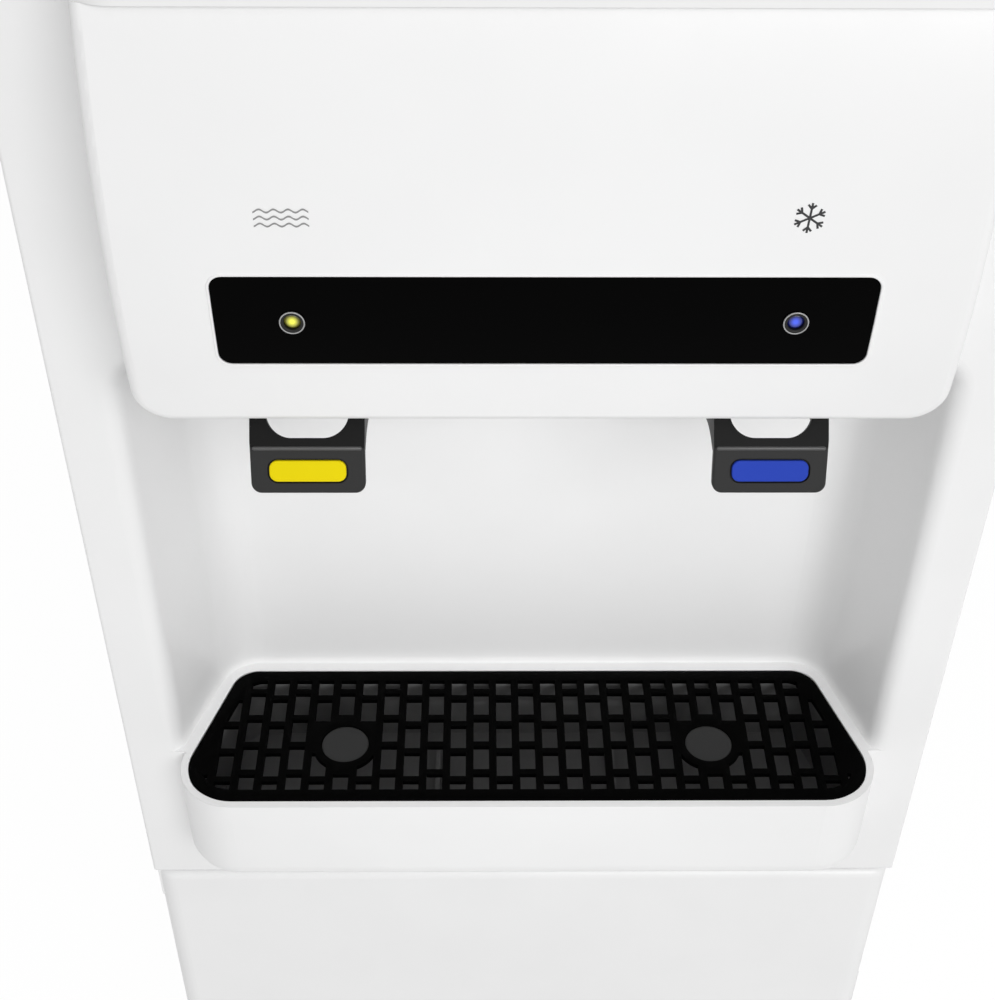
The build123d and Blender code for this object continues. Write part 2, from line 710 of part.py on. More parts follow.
def lever_pad(x):
    with BuildPart() as body:
        with BuildSketch(tab_plane(x).offset(pad_proud)):
            with Locations((0, -lever_tab_height / 2)):
                RectangleRounded(pad_width, pad_height, pad_corner)
        extrude(amount=-pad_depth - pad_proud)
        before_pad = tab_plane(x).from_local_coords((0, 0, pad_width))
        fillet(body.faces().sort_by_distance(before_pad)[0].edges(), pad_proud)
    return body.part


for name, x in zip(("room", "cold"), outlets):
    lever_part = lever(x)
    lever_part.label = f"{name}_lever"
    export_step(lever_part, f"parts/{name}_lever.step")
    pad_part = lever_pad(x)
    pad_part.label = f"{name}_lever_pad"
    export_step(pad_part, f"parts/{name}_lever_pad.step")

# stub pins pressed into the lugs carry the ears, and a spring is wound round each inner end
pin_inner = valve_half_width + running_gap
with BuildPart() as lever_pins:
    for x in outlets:
        for side in (-1, 1):
            with BuildSketch(Plane.YZ.offset(x + side * pin_inner)):
                with Locations((pivot_y, pivot_z)):
                    Circle(pivot_diameter / 2)
            extrude(amount=side * (slot_half_width + lug_thickness - pin_inner))
lever_pins.part.label = "lever_pins"
export_step(lever_pins.part, "parts/lever_pins.step")

spring_wire = 0.35
spring_turns = 3
spring_pitch = 0.9
spring_radius = pivot_diameter / 2 + fit + spring_wire
with BuildPart() as lever_springs:
    for x in outlets:
        spring_x = x + pin_inner + spring_wire
        add(wind(Plane(origin=(spring_x, pivot_y, pivot_z), x_dir=(0, 1, 0), z_dir=(1, 0, 0)),
                 spring_radius, spring_pitch, spring_turns, spring_wire))
lever_springs.part.label = "lever_springs"
export_step(lever_springs.part, "parts/lever_springs.step")

# ---- Switches, spouts and valves in the head -------------------------------------------
switch_gap = 1.6
switch_size = (6.6, 6.0, 9.0)
switch_back_y = pivot_y - ear_width / 2 - switch_gap
with BuildPart() as lever_switches:
    with Locations(*[(x + slot_half_width - fit - switch_size[0] / 2,
                      switch_back_y - switch_size[1] / 2,
                      pivot_z + ear_rise - switch_size[2] / 2 + switch_gap) for x in outlets]):
        Box(*switch_size)
lever_switches.part.label = "lever_switches"
export_step(lever_switches.part, "parts/lever_switches.step")

valve_back_y = front_y - fit
valve_low_z = head_bottom_z + plastic_wall + fit
with BuildPart() as water_valves:
    with Locations(*[(x, valve_back_y - valve_depth / 2, valve_low_z + valve_height / 2)
                     for x in outlets]):
        Box(2 * valve_half_width, valve_depth, valve_height)
    fillet(water_valves.edges().filter_by(Axis.Z), plastic_wall * 0.8)
    with BuildSketch(Plane.XY.offset(valve_low_z + valve_height)):
        with Locations(*[(x, valve_back_y - valve_depth / 2) for x in outlets]):
            Circle(valve_depth / 2 - plastic_wall)
    extrude(amount=valve_height / 2)
water_valves.part.label = "water_valves"
export_step(water_valves.part, "parts/water_valves.step")

spout_wall = (spout_diameter - spout_bore) / 2
with BuildPart() as spouts:
    for x in outlets:
        with BuildSketch(Plane(origin=(x, spout_y, 0), x_dir=(1, 0, 0), z_dir=(0, -1, 0))):
            with BuildLine():
                tip_z = head_bottom_z - spout_drop
                Polyline((spout_bore / 2, valve_low_z), (spout_bore / 2, tip_z),
                         (spout_bore / 2 + spout_wall * 0.5, tip_z),
                         (spout_diameter / 2, tip_z + spout_wall),
                         (spout_diameter / 2, valve_low_z), close=True)
            make_face()
        revolve(axis=Axis((x, spout_y, 0), (0, 0, 1)))
spouts.part.label = "spouts"
export_step(spouts.part, "parts/spouts.step")

board_width = 150.0
board_height = 34.0
board_sheet = 1.6
board_stand = 8.0
board_level = 82.0
with BuildPart() as control_board:
    board_z = head_bottom_z + board_level
    with Locations((0, front_y - board_stand - board_sheet / 2, board_z)):
        Box(board_width, board_sheet, board_height)
    with BuildSketch(front_facing(front_y - fit)):
        with Locations((0, board_z)):
            with GridLocations(board_width * 0.9, board_height * 0.75, 2, 2):
                Circle(plastic_wall)
    extrude(amount=board_stand - fit)
    with Locations((-board_width / 5, front_y - board_stand - board_sheet, board_z)):
        Box(board_height / 2, board_stand, board_height / 2,
            align=(Align.CENTER, Align.MAX, Align.CENTER))
    with Locations((board_width / 5, front_y - board_stand - board_sheet, board_z)):
        Box(board_height, plastic_wall, board_height / 2,
            align=(Align.CENTER, Align.MAX, Align.CENTER))
control_board.part.label = "control_board"
export_step(control_board.part, "parts/control_board.step")

# ---- Top cover -------------------------------------------------------------------------
# A moulded lid over the cabinet and the head panel.
cover_lip = 2.5
cover_edge = 5.0
cover_corner = 7.0
cover_front_corner = 14.0
head_top_y = bow_centre_y - (bow_radius ** 2 - (head_top_z - bow_z) ** 2) ** 0.5
cover_front_y = head_top_y - cover_lip
with BuildPart() as top_cover:
    with BuildSketch(Plane.XY.offset(head_top_z)) as cover_outline:
        with Locations((0, (front_y + rear_y) / 2)):
            Rectangle(cabinet_width, cabinet_depth)
        fillet(cover_outline.vertices(), cover_corner)
        with Locations((0, (cover_front_y + front_y + cabinet_depth / 2) / 2)):
            Rectangle(2 * (head_half_width + cover_lip),
                      front_y + cabinet_depth / 2 - cover_front_y)
        fillet(cover_outline.vertices().group_by(Axis.Y)[0], cover_front_corner)
    extrude(amount=cover_height)
    fillet(top_cover.faces().sort_by(Axis.Z)[-1].edges(), cover_edge)
    offset(amount=-plastic_wall, openings=top_cover.faces().sort_by(Axis.Z)[0])
top_cover.part.label = "top_cover"
export_step(top_cover.part, "parts/top_cover.step")

# ---- Rear panel ------------------------------------------------------------------------
line_clearance = 1.6
wire_gap = 0.1
condenser_y = rear_y + condenser_stand - condenser_tube_radius - 2 * wire_radius - wire_gap
end_bend = 3.5 * condenser_tube_radius
riser_x = -half_width + flange_width + condenser_tube_radius + line_clearance + fit
riser_top_z = shelf_top_z + 4 * end_bend
condenser_exit_x = condenser_half_width + end_bend
bottom_vent_z = louvre_low_z + (louvre_rows - 1) * louvre_pitch / 2
top_vent_z = louvre_high_z + (louvre_rows - 1) * louvre_pitch / 2
vent_pitch_x = 2.1 * louvre_width
with BuildPart() as rear_panel:
    with BuildSketch(front_facing(rear_inner_y)):
        with Locations((0, (base_top_z + head_top_z) / 2)):
            Rectangle(2 * (half_inner - fit), head_top_z - base_top_z)
        with Locations((0, bottom_vent_z), (0, top_vent_z)):
            with GridLocations(vent_pitch_x, louvre_pitch, 3, louvre_rows):
                SlotOverall(louvre_width, louvre_height, mode=Mode.SUBTRACT)
        with Locations(*screw_places):
            Circle(screw_diameter / 2 + fit / 2, mode=Mode.SUBTRACT)
        with Locations((riser_x, riser_top_z), (condenser_exit_x, condenser_top_z)):
            Circle(condenser_tube_radius + line_clearance, mode=Mode.SUBTRACT)
        with Locations((switch_x, switch_level)):
            Rectangle(switch_width, switch_height, mode=Mode.SUBTRACT)
        with Locations((inlet_x, inlet_level)):
            Rectangle(inlet_width, inlet_height, mode=Mode.SUBTRACT)
        with Locations((drain_x, drain_level)):
            Circle(drain_bore, mode=Mode.SUBTRACT)
    extrude(amount=-rear_sheet)
rear_panel.part.label = "rear_panel"
export_step(rear_panel.part, "parts/rear_panel.step")

with BuildPart() as rear_screws:
    with BuildSketch(front_facing(rear_y)):
        with Locations(*screw_places):
            Circle(screw_head_diameter / 2)
    extrude(amount=-screw_head_height)
    fillet(rear_screws.edges().group_by(Axis.Y)[-1], screw_head_height * 0.6)
    with BuildSketch(front_facing(rear_y)):
        with Locations(*screw_places):
            Circle(screw_diameter / 2)
    extrude(amount=3 * screw_head_height)
rear_screws.part.label = "rear_screws"
export_step(rear_screws.part, "parts/rear_screws.step")

# ---- Condenser -------------------------------------------------------------------------
# One serpentine tube, between two rows of upright wires. It comes out of the machine space,
# drops down the left edge, climbs in passes and turns back in at the top right.
inner_end_y = rear_inner_y - end_bend
with BuildPart() as condenser_coil:
    with BuildLine() as serpentine:
        start = Vector(riser_x, inner_end_y, riser_top_z)
        out = Vector(riser_x, condenser_y - end_bend, riser_top_z)
        down = Vector(riser_x, condenser_y, riser_top_z - end_bend)
        low = Vector(riser_x, condenser_y, condenser_low_z + end_bend)
        here = Vector(riser_x + end_bend, condenser_y, condenser_low_z)
        Line(start, out)
        TangentArc(out, down, tangent=(0, 1, 0))
        Line(down, low)
        TangentArc(low, here, tangent=(0, 0, -1))
        heading = 1
        for index in range(condenser_passes):
            there = Vector(heading * condenser_half_width, condenser_y, here.Z)
            Line(here, there)
            if index < condenser_passes - 1:
                here = there + Vector(0, 0, condenser_pitch)
                TangentArc(there, here, tangent=(heading, 0, 0))
                heading = -heading
        last = there + Vector(heading * end_bend, -end_bend, 0)
        TangentArc(there, last, tangent=(heading, 0, 0))
        Line(last, Vector(last.X, inner_end_y, last.Z))
    with BuildSketch(Plane(origin=start, z_dir=(0, 1, 0))):
        Circle(condenser_tube_radius)
    sweep(path=serpentine.line)
condenser_coil.part.label = "condenser_coil"
export_step(condenser_coil.part, "parts/condenser_coil.step")

wire_offset = condenser_tube_radius + wire_radius
wire_length = condenser_top_z - condenser_low_z + 2 * wire_overhang
with BuildPart() as condenser_wires:
    with BuildSketch(Plane.XY.offset(condenser_low_z - wire_overhang)):
        with Locations((0, condenser_y)):
            with GridLocations(2 * (condenser_half_width - wire_edge_gap) / (wire_count - 1),
                               2 * (wire_offset + wire_gap), wire_count, 2):
                Circle(wire_radius)
    extrude(amount=wire_length)
condenser_wires.part.label = "condenser_wires"
export_step(condenser_wires.part, "parts/condenser_wires.step")

clip_width = 8.0
clip_height = 16.0
clip_x = condenser_half_width - clip_width / 2
with BuildPart() as condenser_clips:
    with BuildSketch(Plane.XY.offset(condenser_low_z + condenser_pitch)):
        with Locations(*[(side * clip_x, rear_panel_y) for side in (-1, 1)]):
            Rectangle(clip_width, condenser_y - rear_panel_y + condenser_tube_radius,
                      align=(Align.CENTER, Align.MIN))
    extrude(amount=clip_height / 2, both=True)
    clip_rise = (condenser_passes - 3) * condenser_pitch
    add(condenser_clips.part.moved(Location((0, 0, clip_rise))))
    for level in (1, condenser_passes - 2):
        with BuildSketch(Plane.YZ.offset(-half_width)):
            with Locations((condenser_y, condenser_low_z + level * condenser_pitch)):
                Circle(condenser_tube_radius + wire_gap)
            with Locations((condenser_y + clip_height / 2,
                            condenser_low_z + level * condenser_pitch)):
                Rectangle(clip_height, 2 * condenser_tube_radius)
        extrude(amount=cabinet_width, mode=Mode.SUBTRACT)
condenser_clips.part.label = "condenser_clips"
export_step(condenser_clips.part, "parts/condenser_clips.step")

# ---- Bottle compartment ----------------------------------------------------------------
liner_front = body_front_y + steel_sheet + fit
liner_back = rear_inner_y - compartment_rear_gap
liner_half = half_inner - fit
liner_low_z = base_top_z + fit
liner_high_z = shelf_z - fit
gland_x = outlets[0]
gland_y = front_y + gland_stand
with BuildPart() as bottle_liner:
    with Locations((0, (liner_front + liner_back) / 2, (liner_low_z + liner_high_z) / 2)):
        Box(2 * liner_half, liner_back - liner_front, liner_high_z - liner_low_z)
    fillet(bottle_liner.edges().filter_by(Axis.Z).group_by(Axis.Y)[-1], 4 * liner_wall)
    offset(amount=-liner_wall, openings=bottle_liner.faces().sort_by(Axis.Y)[0])
    with BuildSketch(Plane.XY.offset(liner_high_z)):
        with Locations((gland_x, gland_y)):
            Circle(gland_diameter / 2)
    extrude(amount=-2 * liner_wall, mode=Mode.SUBTRACT)
bottle_liner.part.label = "bottle_liner"
export_step(bottle_liner.part, "parts/bottle_liner.step")

bottle_diameter = 2 * (liner_half - liner_wall - bottle_margin)
floor_low_z = liner_low_z + liner_wall
floor_top_z = floor_low_z + bottle_floor_thickness
bottle_y = (liner_front + liner_back - liner_wall) / 2
floor_clearance = 2 * fit
with BuildPart() as bottle_floor:
    with BuildSketch(Plane.XY.offset(floor_low_z)) as floor_outline:
        with Locations((0, (liner_front + liner_back - liner_wall - floor_clearance) / 2)):
            Rectangle(2 * (liner_half - liner_wall - floor_clearance),
                      liner_back - liner_front - liner_wall - floor_clearance)
        fillet(floor_outline.vertices().group_by(Axis.Y)[-1], 4 * liner_wall)
    extrude(amount=bottle_floor_thickness)
    with BuildSketch(Plane.XY.offset(floor_top_z)):
        with Locations((0, bottle_y)):
            Circle(bottle_diameter / 2 + bottle_clearance)
    extrude(amount=-bottle_recess, mode=Mode.SUBTRACT)
bottle_floor.part.label = "bottle_floor"
export_step(bottle_floor.part, "parts/bottle_floor.step")

# the probe that goes into the bottle hangs by its collar in a forked holder
collar_radius = probe_collar_diameter / 2
probe_x = liner_half - liner_wall - collar_radius - 3 * running_gap
probe_y = liner_back - liner_wall - collar_radius - 3 * running_gap
nipple_length = 14.0
with BuildPart() as suction_probe:
    with BuildSketch(Plane.XZ.offset(-probe_y)):
        with BuildLine():
            low_z = probe_level - probe_length
            high_z = probe_level + probe_collar_height
            Polyline((0, low_z), (probe_tube_diameter / 2, low_z),
                     (probe_tube_diameter / 2, probe_level), (collar_radius, probe_level),
                     (collar_radius, probe_level + probe_collar_height * 0.7),
                     (probe_tube_diameter, high_z), (probe_tube_diameter / 2, high_z),
                     (probe_tube_diameter / 2, high_z + nipple_length),
                     (0, high_z + nipple_length), close=True)
        make_face()
    revolve(axis=Axis((0, probe_y, 0), (0, 0, 1)))
    fillet(suction_probe.edges().filter_by(GeomType.CIRCLE).group_by(Axis.Z)[-3], plastic_wall)
    with BuildSketch(Plane.XY.offset(low_z)):
        with Locations((0, probe_y)):
            Circle(probe_bore / 2)
    extrude(amount=probe_length + probe_collar_height + nipple_length, mode=Mode.SUBTRACT)
    with BuildSketch(Plane.XZ.offset(-probe_y)):
        with Locations((0, low_z)):
            Rectangle(probe_tube_diameter / 3, probe_tube_diameter * 2)
    extrude(amount=probe_tube_diameter, both=True, mode=Mode.SUBTRACT)
suction_probe.part = suction_probe.part.moved(Location((probe_x, 0, 0)))
suction_probe.part.label = "suction_probe"
export_step(suction_probe.part, "parts/suction_probe.step")

with BuildPart() as probe_holder:
    holder_back = liner_back - liner_wall
    with BuildSketch(Plane.XY.offset(probe_level)) as holder_outline:
        with Locations((probe_x, (holder_back + probe_y - probe_tube_diameter) / 2)):
            Rectangle(2.6 * probe_tube_diameter, holder_back - probe_y + probe_tube_diameter)
        fillet(holder_outline.vertices().group_by(Axis.Y)[0], plastic_wall)
        with Locations((probe_x, probe_y)):
            Circle(probe_tube_diameter / 2 + running_gap, mode=Mode.SUBTRACT)
        with Locations((probe_x, probe_y - probe_tube_diameter)):
            Rectangle(probe_tube_diameter + running_gap, 2 * probe_tube_diameter,
                      mode=Mode.SUBTRACT)
    extrude(amount=-holder_thickness)
probe_holder.part.label = "probe_holder"
export_step(probe_holder.part, "parts/probe_holder.step")

# ---- Shelf of the machine space --------------------------------------------------------
shelf_lip = 10.0
shelf_front = liner_front
with BuildPart() as machine_shelf:
    with Locations((0, (shelf_front + rear_inner_y) / 2, shelf_z)):
        Box(2 * liner_half, rear_inner_y - shelf_front - fit, shelf_sheet,
            align=(Align.CENTER, Align.CENTER, Align.MIN))
    with Locations((0, rear_inner_y - fit / 2, shelf_top_z)):
        Box(2 * (liner_half - flange_width), shelf_sheet, shelf_lip,
            align=(Align.CENTER, Align.MAX, Align.MIN))
    with BuildSketch(Plane.XY.offset(shelf_z)):
        with Locations((gland_x, gland_y)):
            Circle(gland_diameter / 2)
    extrude(amount=shelf_sheet, mode=Mode.SUBTRACT)
machine_shelf.part.label = "machine_shelf"
export_step(machine_shelf.part, "parts/machine_shelf.step")

# ---- Cold tank -------------------------------------------------------------------------
# A drawn steel tank with its lid, wound with the evaporator and set in a foam box.
tank_x = outlets[1]
tank_centre_y = front_y + tank_y
foam_low_z = shelf_top_z + fit
tank_low_z = foam_low_z + foam_wall
coil_radius = tank_radius + coil_tube_radius + fit
foam_half = coil_radius + coil_tube_radius + fit + foam_wall
lid_height = 5.0
tank_top_z = tank_low_z + tank_height
with BuildPart() as cold_tank:
    with BuildSketch(Plane.XY.offset(tank_low_z)):
        with Locations((tank_x, tank_centre_y)):
            Circle(tank_radius)
    extrude(amount=tank_height)
    fillet(cold_tank.edges().group_by(Axis.Z)[0], 4 * tank_wall)
    offset(amount=-tank_wall, openings=cold_tank.faces().sort_by(Axis.Z)[-1])
cold_tank.part.label = "cold_tank"
export_step(cold_tank.part, "parts/cold_tank.step")

line_diameter = 8.0
line_bore = 5.0
port_z = head_bottom_z + line_level
lid_top_z = tank_top_z + lid_height
nipple_top_z = lid_top_z + foam_wall
with BuildPart() as tank_lid:
    with BuildSketch(Plane.XY.offset(tank_top_z)):
        with Locations((tank_x, tank_centre_y)):
            Circle(tank_radius)
    extrude(amount=lid_height)
    with BuildSketch(Plane.XY.offset(lid_top_z)):
        with Locations((tank_x, tank_centre_y)):
            Circle(line_diameter / 2)
    extrude(amount=foam_wall)
tank_lid.part.label = "tank_lid"
export_step(tank_lid.part, "parts/tank_lid.step")

with BuildPart() as tank_foam:
    with Locations((tank_x, tank_centre_y, foam_low_z)):
        Box(2 * foam_half, 2 * foam_half, tank_top_z - foam_low_z,
            align=(Align.CENTER, Align.CENTER, Align.MIN))
    fillet(tank_foam.edges().filter_by(Axis.Z), foam_wall / 2)
    with BuildSketch(Plane.XY.offset(tank_low_z)):
        with Locations((tank_x, tank_centre_y)):
            Circle(foam_half - foam_wall)
    extrude(amount=tank_height, mode=Mode.SUBTRACT)
tank_foam.part.label = "tank_foam"
export_step(tank_foam.part, "parts/tank_foam.step")

with BuildPart() as foam_lid:
    with Locations((tank_x, tank_centre_y, tank_top_z + fit)):
        Box(2 * foam_half, 2 * foam_half, lid_height + foam_wall - fit,
            align=(Align.CENTER, Align.CENTER, Align.MIN))
    fillet(foam_lid.edges().filter_by(Axis.Z), foam_wall / 2)
    with BuildSketch(Plane.XY.offset(tank_top_z)):
        with Locations((tank_x, tank_centre_y)):
            Circle(tank_radius + fit)
    extrude(amount=lid_height + fit, mode=Mode.SUBTRACT)
    with BuildSketch(Plane.XY.offset(lid_top_z)):
        with Locations((tank_x, tank_centre_y)):
            Circle(line_diameter / 2 + fit)
    extrude(amount=2 * foam_wall, mode=Mode.SUBTRACT)
foam_lid.part.label = "foam_lid"
export_step(foam_lid.part, "parts/foam_lid.step")

coil_low_z = tank_low_z + (tank_height - coil_turns * coil_pitch) / 2
evaporator = wind(Plane(origin=(tank_x, tank_centre_y, coil_low_z)), coil_radius, coil_pitch,
                  coil_turns, coil_tube_radius)
evaporator.label = "evaporator_coil"
export_step(evaporator, "parts/evaporator_coil.step")


# ---- Water lines -----------------------------------------------------------------------
# Soft tubes held at both ends: from the tank and from the pump to the valves in the head.
def water_line(x, y, low_z):
    with BuildPart() as line:
        with BuildLine() as route:
            FilletPolyline((x, y, low_z), (x, y, port_z), (x, front_y, port_z),
                           radius=4 * line_diameter)
        with BuildSketch(Plane(origin=(x, y, low_z))):
            Circle(line_diameter / 2)
            Circle(line_bore / 2, mode=Mode.SUBTRACT)
        sweep(path=route.line)
    return line.part


cold_line = water_line(tank_x, tank_centre_y, nipple_top_z)
cold_line.label = "cold_line"
export_step(cold_line, "parts/cold_line.step")

# ---- Pump ------------------------------------------------------------------------------
# A small diaphragm pump over the gland where the bottle's hose comes up.
pump_x = outlets[0]
pump_length = 74.0
pump_width = 46.0
pump_height = 44.0
pump_foot = 6.0
pump_y = gland_y
pump_low_z = shelf_top_z + fit + gland_diameter
with BuildPart() as water_pump:
    with Locations((pump_x, pump_y, pump_low_z)):
        Box(pump_width, pump_length / 2, pump_height,
            align=(Align.CENTER, Align.MAX, Align.MIN))
    fillet(water_pump.edges().filter_by(Axis.Y), 3 * plastic_wall)
    with BuildSketch(front_facing(pump_y)):
        with Locations((pump_x, pump_low_z + pump_height / 2)):
            Circle(pump_height / 2 - plastic_wall)
    extrude(amount=-pump_length / 2)
    fillet(water_pump.edges().group_by(Axis.Y)[-1], plastic_wall)
    with Locations(*[(pump_x + side * pump_width / 2, pump_y - pump_length / 4,
                      shelf_top_z + fit) for side in (-1, 1)]):
        Box(pump_foot, pump_length / 2, pump_height / 2 + gland_diameter,
            align=(Align.CENTER, Align.CENTER, Align.MIN))
    with BuildSketch(Plane.XY.offset(pump_low_z + pump_height)):
        with Locations((pump_x, pump_y - pump_length / 4)):
            Circle(line_diameter / 2)
    extrude(amount=gland_diameter)
water_pump.part.label = "water_pump"
export_step(water_pump.part, "parts/water_pump.step")

room_line = water_line(pump_x, pump_y - pump_length / 4,
                       pump_low_z + pump_height + gland_diameter)
room_line.label = "room_line"
export_step(room_line, "parts/room_line.step")

with BuildPart() as hose_gland:
    with BuildSketch(Plane.XZ.offset(-gland_y)):
        with BuildLine():
            gland_low_z = liner_high_z - liner_wall - plastic_wall - fit
            neck = gland_diameter / 2 - fit
            Polyline((line_bore / 2, gland_low_z), (gland_diameter * 0.7, gland_low_z),
                     (gland_diameter * 0.7, gland_low_z + plastic_wall),
                     (neck, gland_low_z + plastic_wall), (neck, shelf_top_z + plastic_wall),
                     (line_bore / 2, shelf_top_z + plastic_wall), close=True)
        make_face()
    revolve(axis=Axis((0, gland_y, 0), (0, 0, 1)))
hose_gland.part = hose_gland.part.moved(Location((gland_x, 0, 0)))
hose_gland.part.label = "hose_gland"
export_step(hose_gland.part, "parts/hose_gland.step")

# ---- Compressor ------------------------------------------------------------------------
# A welded steel pot on a footed plate, which stands on rubber mounts.
compressor_centre = (compressor_x, front_y + compressor_y)
plate_low_z = shelf_top_z + mount_height
plate_sheet = 3.0
seam_height = 4.0
seam_stand = 2.5
mount_places = [(compressor_centre[0] + i * mount_spacing / 2,
                 compressor_centre[1] + j * mount_spacing / 2)
                for i in (-1, 1) for j in (-1, 1)]
mount_bolt = 3.0
with BuildPart() as compressor:
    with BuildSketch(Plane.XY.offset(plate_low_z)):
        with Locations(compressor_centre):
            RectangleRounded(mount_spacing + mount_diameter, mount_spacing + mount_diameter,
                             mount_diameter / 2)
        with Locations(*mount_places):
            Circle(mount_bolt + fit, mode=Mode.SUBTRACT)
    extrude(amount=plate_sheet)
    with BuildSketch(Plane.XY.offset(plate_low_z + plate_sheet)):
        with Locations(compressor_centre):
            Circle(compressor_radius)
    extrude(amount=compressor_height)
    fillet(compressor.edges().group_by(Axis.Z)[-1], compressor_radius * 0.55)
    with BuildSketch(Plane.XY.offset(plate_low_z + plate_sheet + compressor_height * 0.45)):
        with Locations(compressor_centre):
            Circle(compressor_radius + seam_stand)
    extrude(amount=seam_height)
compressor.part.label = "compressor"
export_step(compressor.part, "parts/compressor.step")

with BuildPart() as compressor_mounts:
    with BuildSketch(Plane.XY.offset(shelf_top_z)):
        with Locations(*mount_places):
            Circle(mount_diameter / 2)
    extrude(amount=mount_height)
    chamfer(compressor_mounts.edges().filter_by(GeomType.CIRCLE), plastic_wall / 2)
    with BuildSketch(Plane.XY.offset(shelf_top_z + mount_height)):
        with Locations(*mount_places):
            Circle(mount_bolt)
    extrude(amount=2 * plate_sheet)
compressor_mounts.part.label = "compressor_mounts"
export_step(compressor_mounts.part, "parts/compressor_mounts.step")

drier_radius = 9.0
drier_length = 70.0
drier_neck = 3.0
with BuildPart() as filter_drier:
    with BuildSketch(Plane.XY.offset(shelf_top_z + fit)):
        with Locations((0, rear_inner_y - shelf_sheet - drier_radius - 2 * fit)):
            Circle(drier_radius)
    extrude(amount=drier_length)
    fillet(filter_drier.edges().group_by(Axis.Z)[-1], drier_radius * 0.6)
    with BuildSketch(Plane.XY.offset(shelf_top_z + drier_length)):
        with Locations((0, rear_inner_y - shelf_sheet - drier_radius - 2 * fit)):
            Circle(drier_neck)
    extrude(amount=drier_radius)
filter_drier.part.label = "filter_drier"
export_step(filter_drier.part, "parts/filter_drier.step")

# ---- Door ------------------------------------------------------------------------------
door_half = half_width - fit
door_back_y = front_y + door_thickness
grip_front_y = front_y + 3 * door_wall
grip_left_x = door_half - grip_depth
liner_plate_y = door_back_y - door_liner_wall
block_width = hinge_inset + hinge_pin_diameter
block_back_y = liner_plate_y - fit
block_height = hinge_pin_length + 2 * door_wall
with BuildPart() as door_panel:
    with BuildSketch(Plane.XY.offset(door_bottom_z)) as door_outline:
        with Locations((0, (front_y + door_back_y) / 2)):
            Rectangle(2 * door_half, door_thickness)
        fillet(door_outline.vertices().group_by(Axis.Y)[0], door_edge_radius)
    extrude(amount=door_top_z - door_bottom_z)
    for end in (0, -1):
        front_edge = door_panel.edges().group_by(Axis.Z)[end].sort_by(Axis.Y)[0]
        fillet(front_edge, door_top_radius)
    with BuildSketch(Plane.XY.offset(door_bottom_z + door_wall)) as door_hollow:
        with Locations((0, front_y + door_wall)):
            Rectangle(2 * (door_half - door_wall), door_thickness,
                      align=(Align.CENTER, Align.MIN))
        fillet(door_hollow.vertices().group_by(Axis.Y)[0], door_edge_radius - door_wall)
    extrude(amount=door_top_z - door_bottom_z - 2 * door_wall, mode=Mode.SUBTRACT)
    inner_front_y = front_y + door_wall / 2
    for low in (door_bottom_z + fit, door_top_z - block_height - fit):
        with Locations((-door_half + fit, inner_front_y + door_wall, low)):
            Box(block_width + door_wall, block_back_y - inner_front_y - door_wall, block_height,
                align=(Align.MIN, Align.MIN, Align.MIN))
    with Locations((door_half - fit, grip_front_y - door_wall, grip_level)):
        Box(grip_depth + door_wall, grip_width + 2 * door_wall, grip_height + 2 * door_wall,
            align=(Align.MAX, Align.MIN, Align.CENTER))
    with Locations((door_half, grip_front_y, grip_level)):
        Box(grip_depth, grip_width, grip_height, mode=Mode.SUBTRACT,
            align=(Align.MAX, Align.MIN, Align.CENTER))
    for low, amount in ((door_bottom_z, 1), (door_top_z, -1)):
        with BuildSketch(Plane.XY.offset(low)):
            with Locations((hinge_x, hinge_y)):
                Circle(hinge_pin_diameter / 2 + bush_clearance)
        extrude(amount=amount * (hinge_pin_length + running_gap), mode=Mode.SUBTRACT)
door_panel.part.label = "door_panel"
export_step(door_panel.part, "parts/door_panel.step")

strike_inset = 15.0            # in from the compartment's side wall
strike_x = liner_half - liner_wall - strike_inset
strike_width = 12.0
strike_sheet = 1.0
strike_z = grip_level
with BuildPart() as door_liner:
    plate_half = door_half - door_wall - fit
    plate_low_z = door_bottom_z + door_wall + fit
    plate_high_z = door_top_z - door_wall - fit
    with Locations((0, liner_plate_y, plate_low_z)):
        Box(2 * plate_half, door_liner_wall, plate_high_z - plate_low_z,
            align=(Align.CENTER, Align.MIN, Align.MIN))
    # a shallow pressed field stiffens the plate
    with BuildSketch(front_facing(door_back_y)):
        with Locations((0, (plate_low_z + plate_high_z) / 2)):
            RectangleRounded(1.6 * plate_half, 0.86 * (plate_high_z - plate_low_z),
                             2 * door_edge_radius)
    extrude(amount=door_liner_wall / 2, mode=Mode.SUBTRACT)
    with Locations((strike_x, door_back_y, strike_z)):
        Box(strike_width + 2 * fit, strike_sheet, strike_height + 2 * fit,
            align=(Align.CENTER, Align.MAX, Align.CENTER), mode=Mode.SUBTRACT)
door_liner.part.label = "door_liner"
export_step(door_liner.part, "parts/door_liner.step")

with BuildPart() as door_strike:
    with Locations((strike_x, door_back_y, strike_z)):
        Box(strike_width, strike_sheet, strike_height,
            align=(Align.CENTER, Align.MAX, Align.CENTER))
    chamfer(door_strike.edges().filter_by(Axis.Y), strike_sheet)
door_strike.part.label = "door_strike"
export_step(door_strike.part, "parts/door_strike.step")

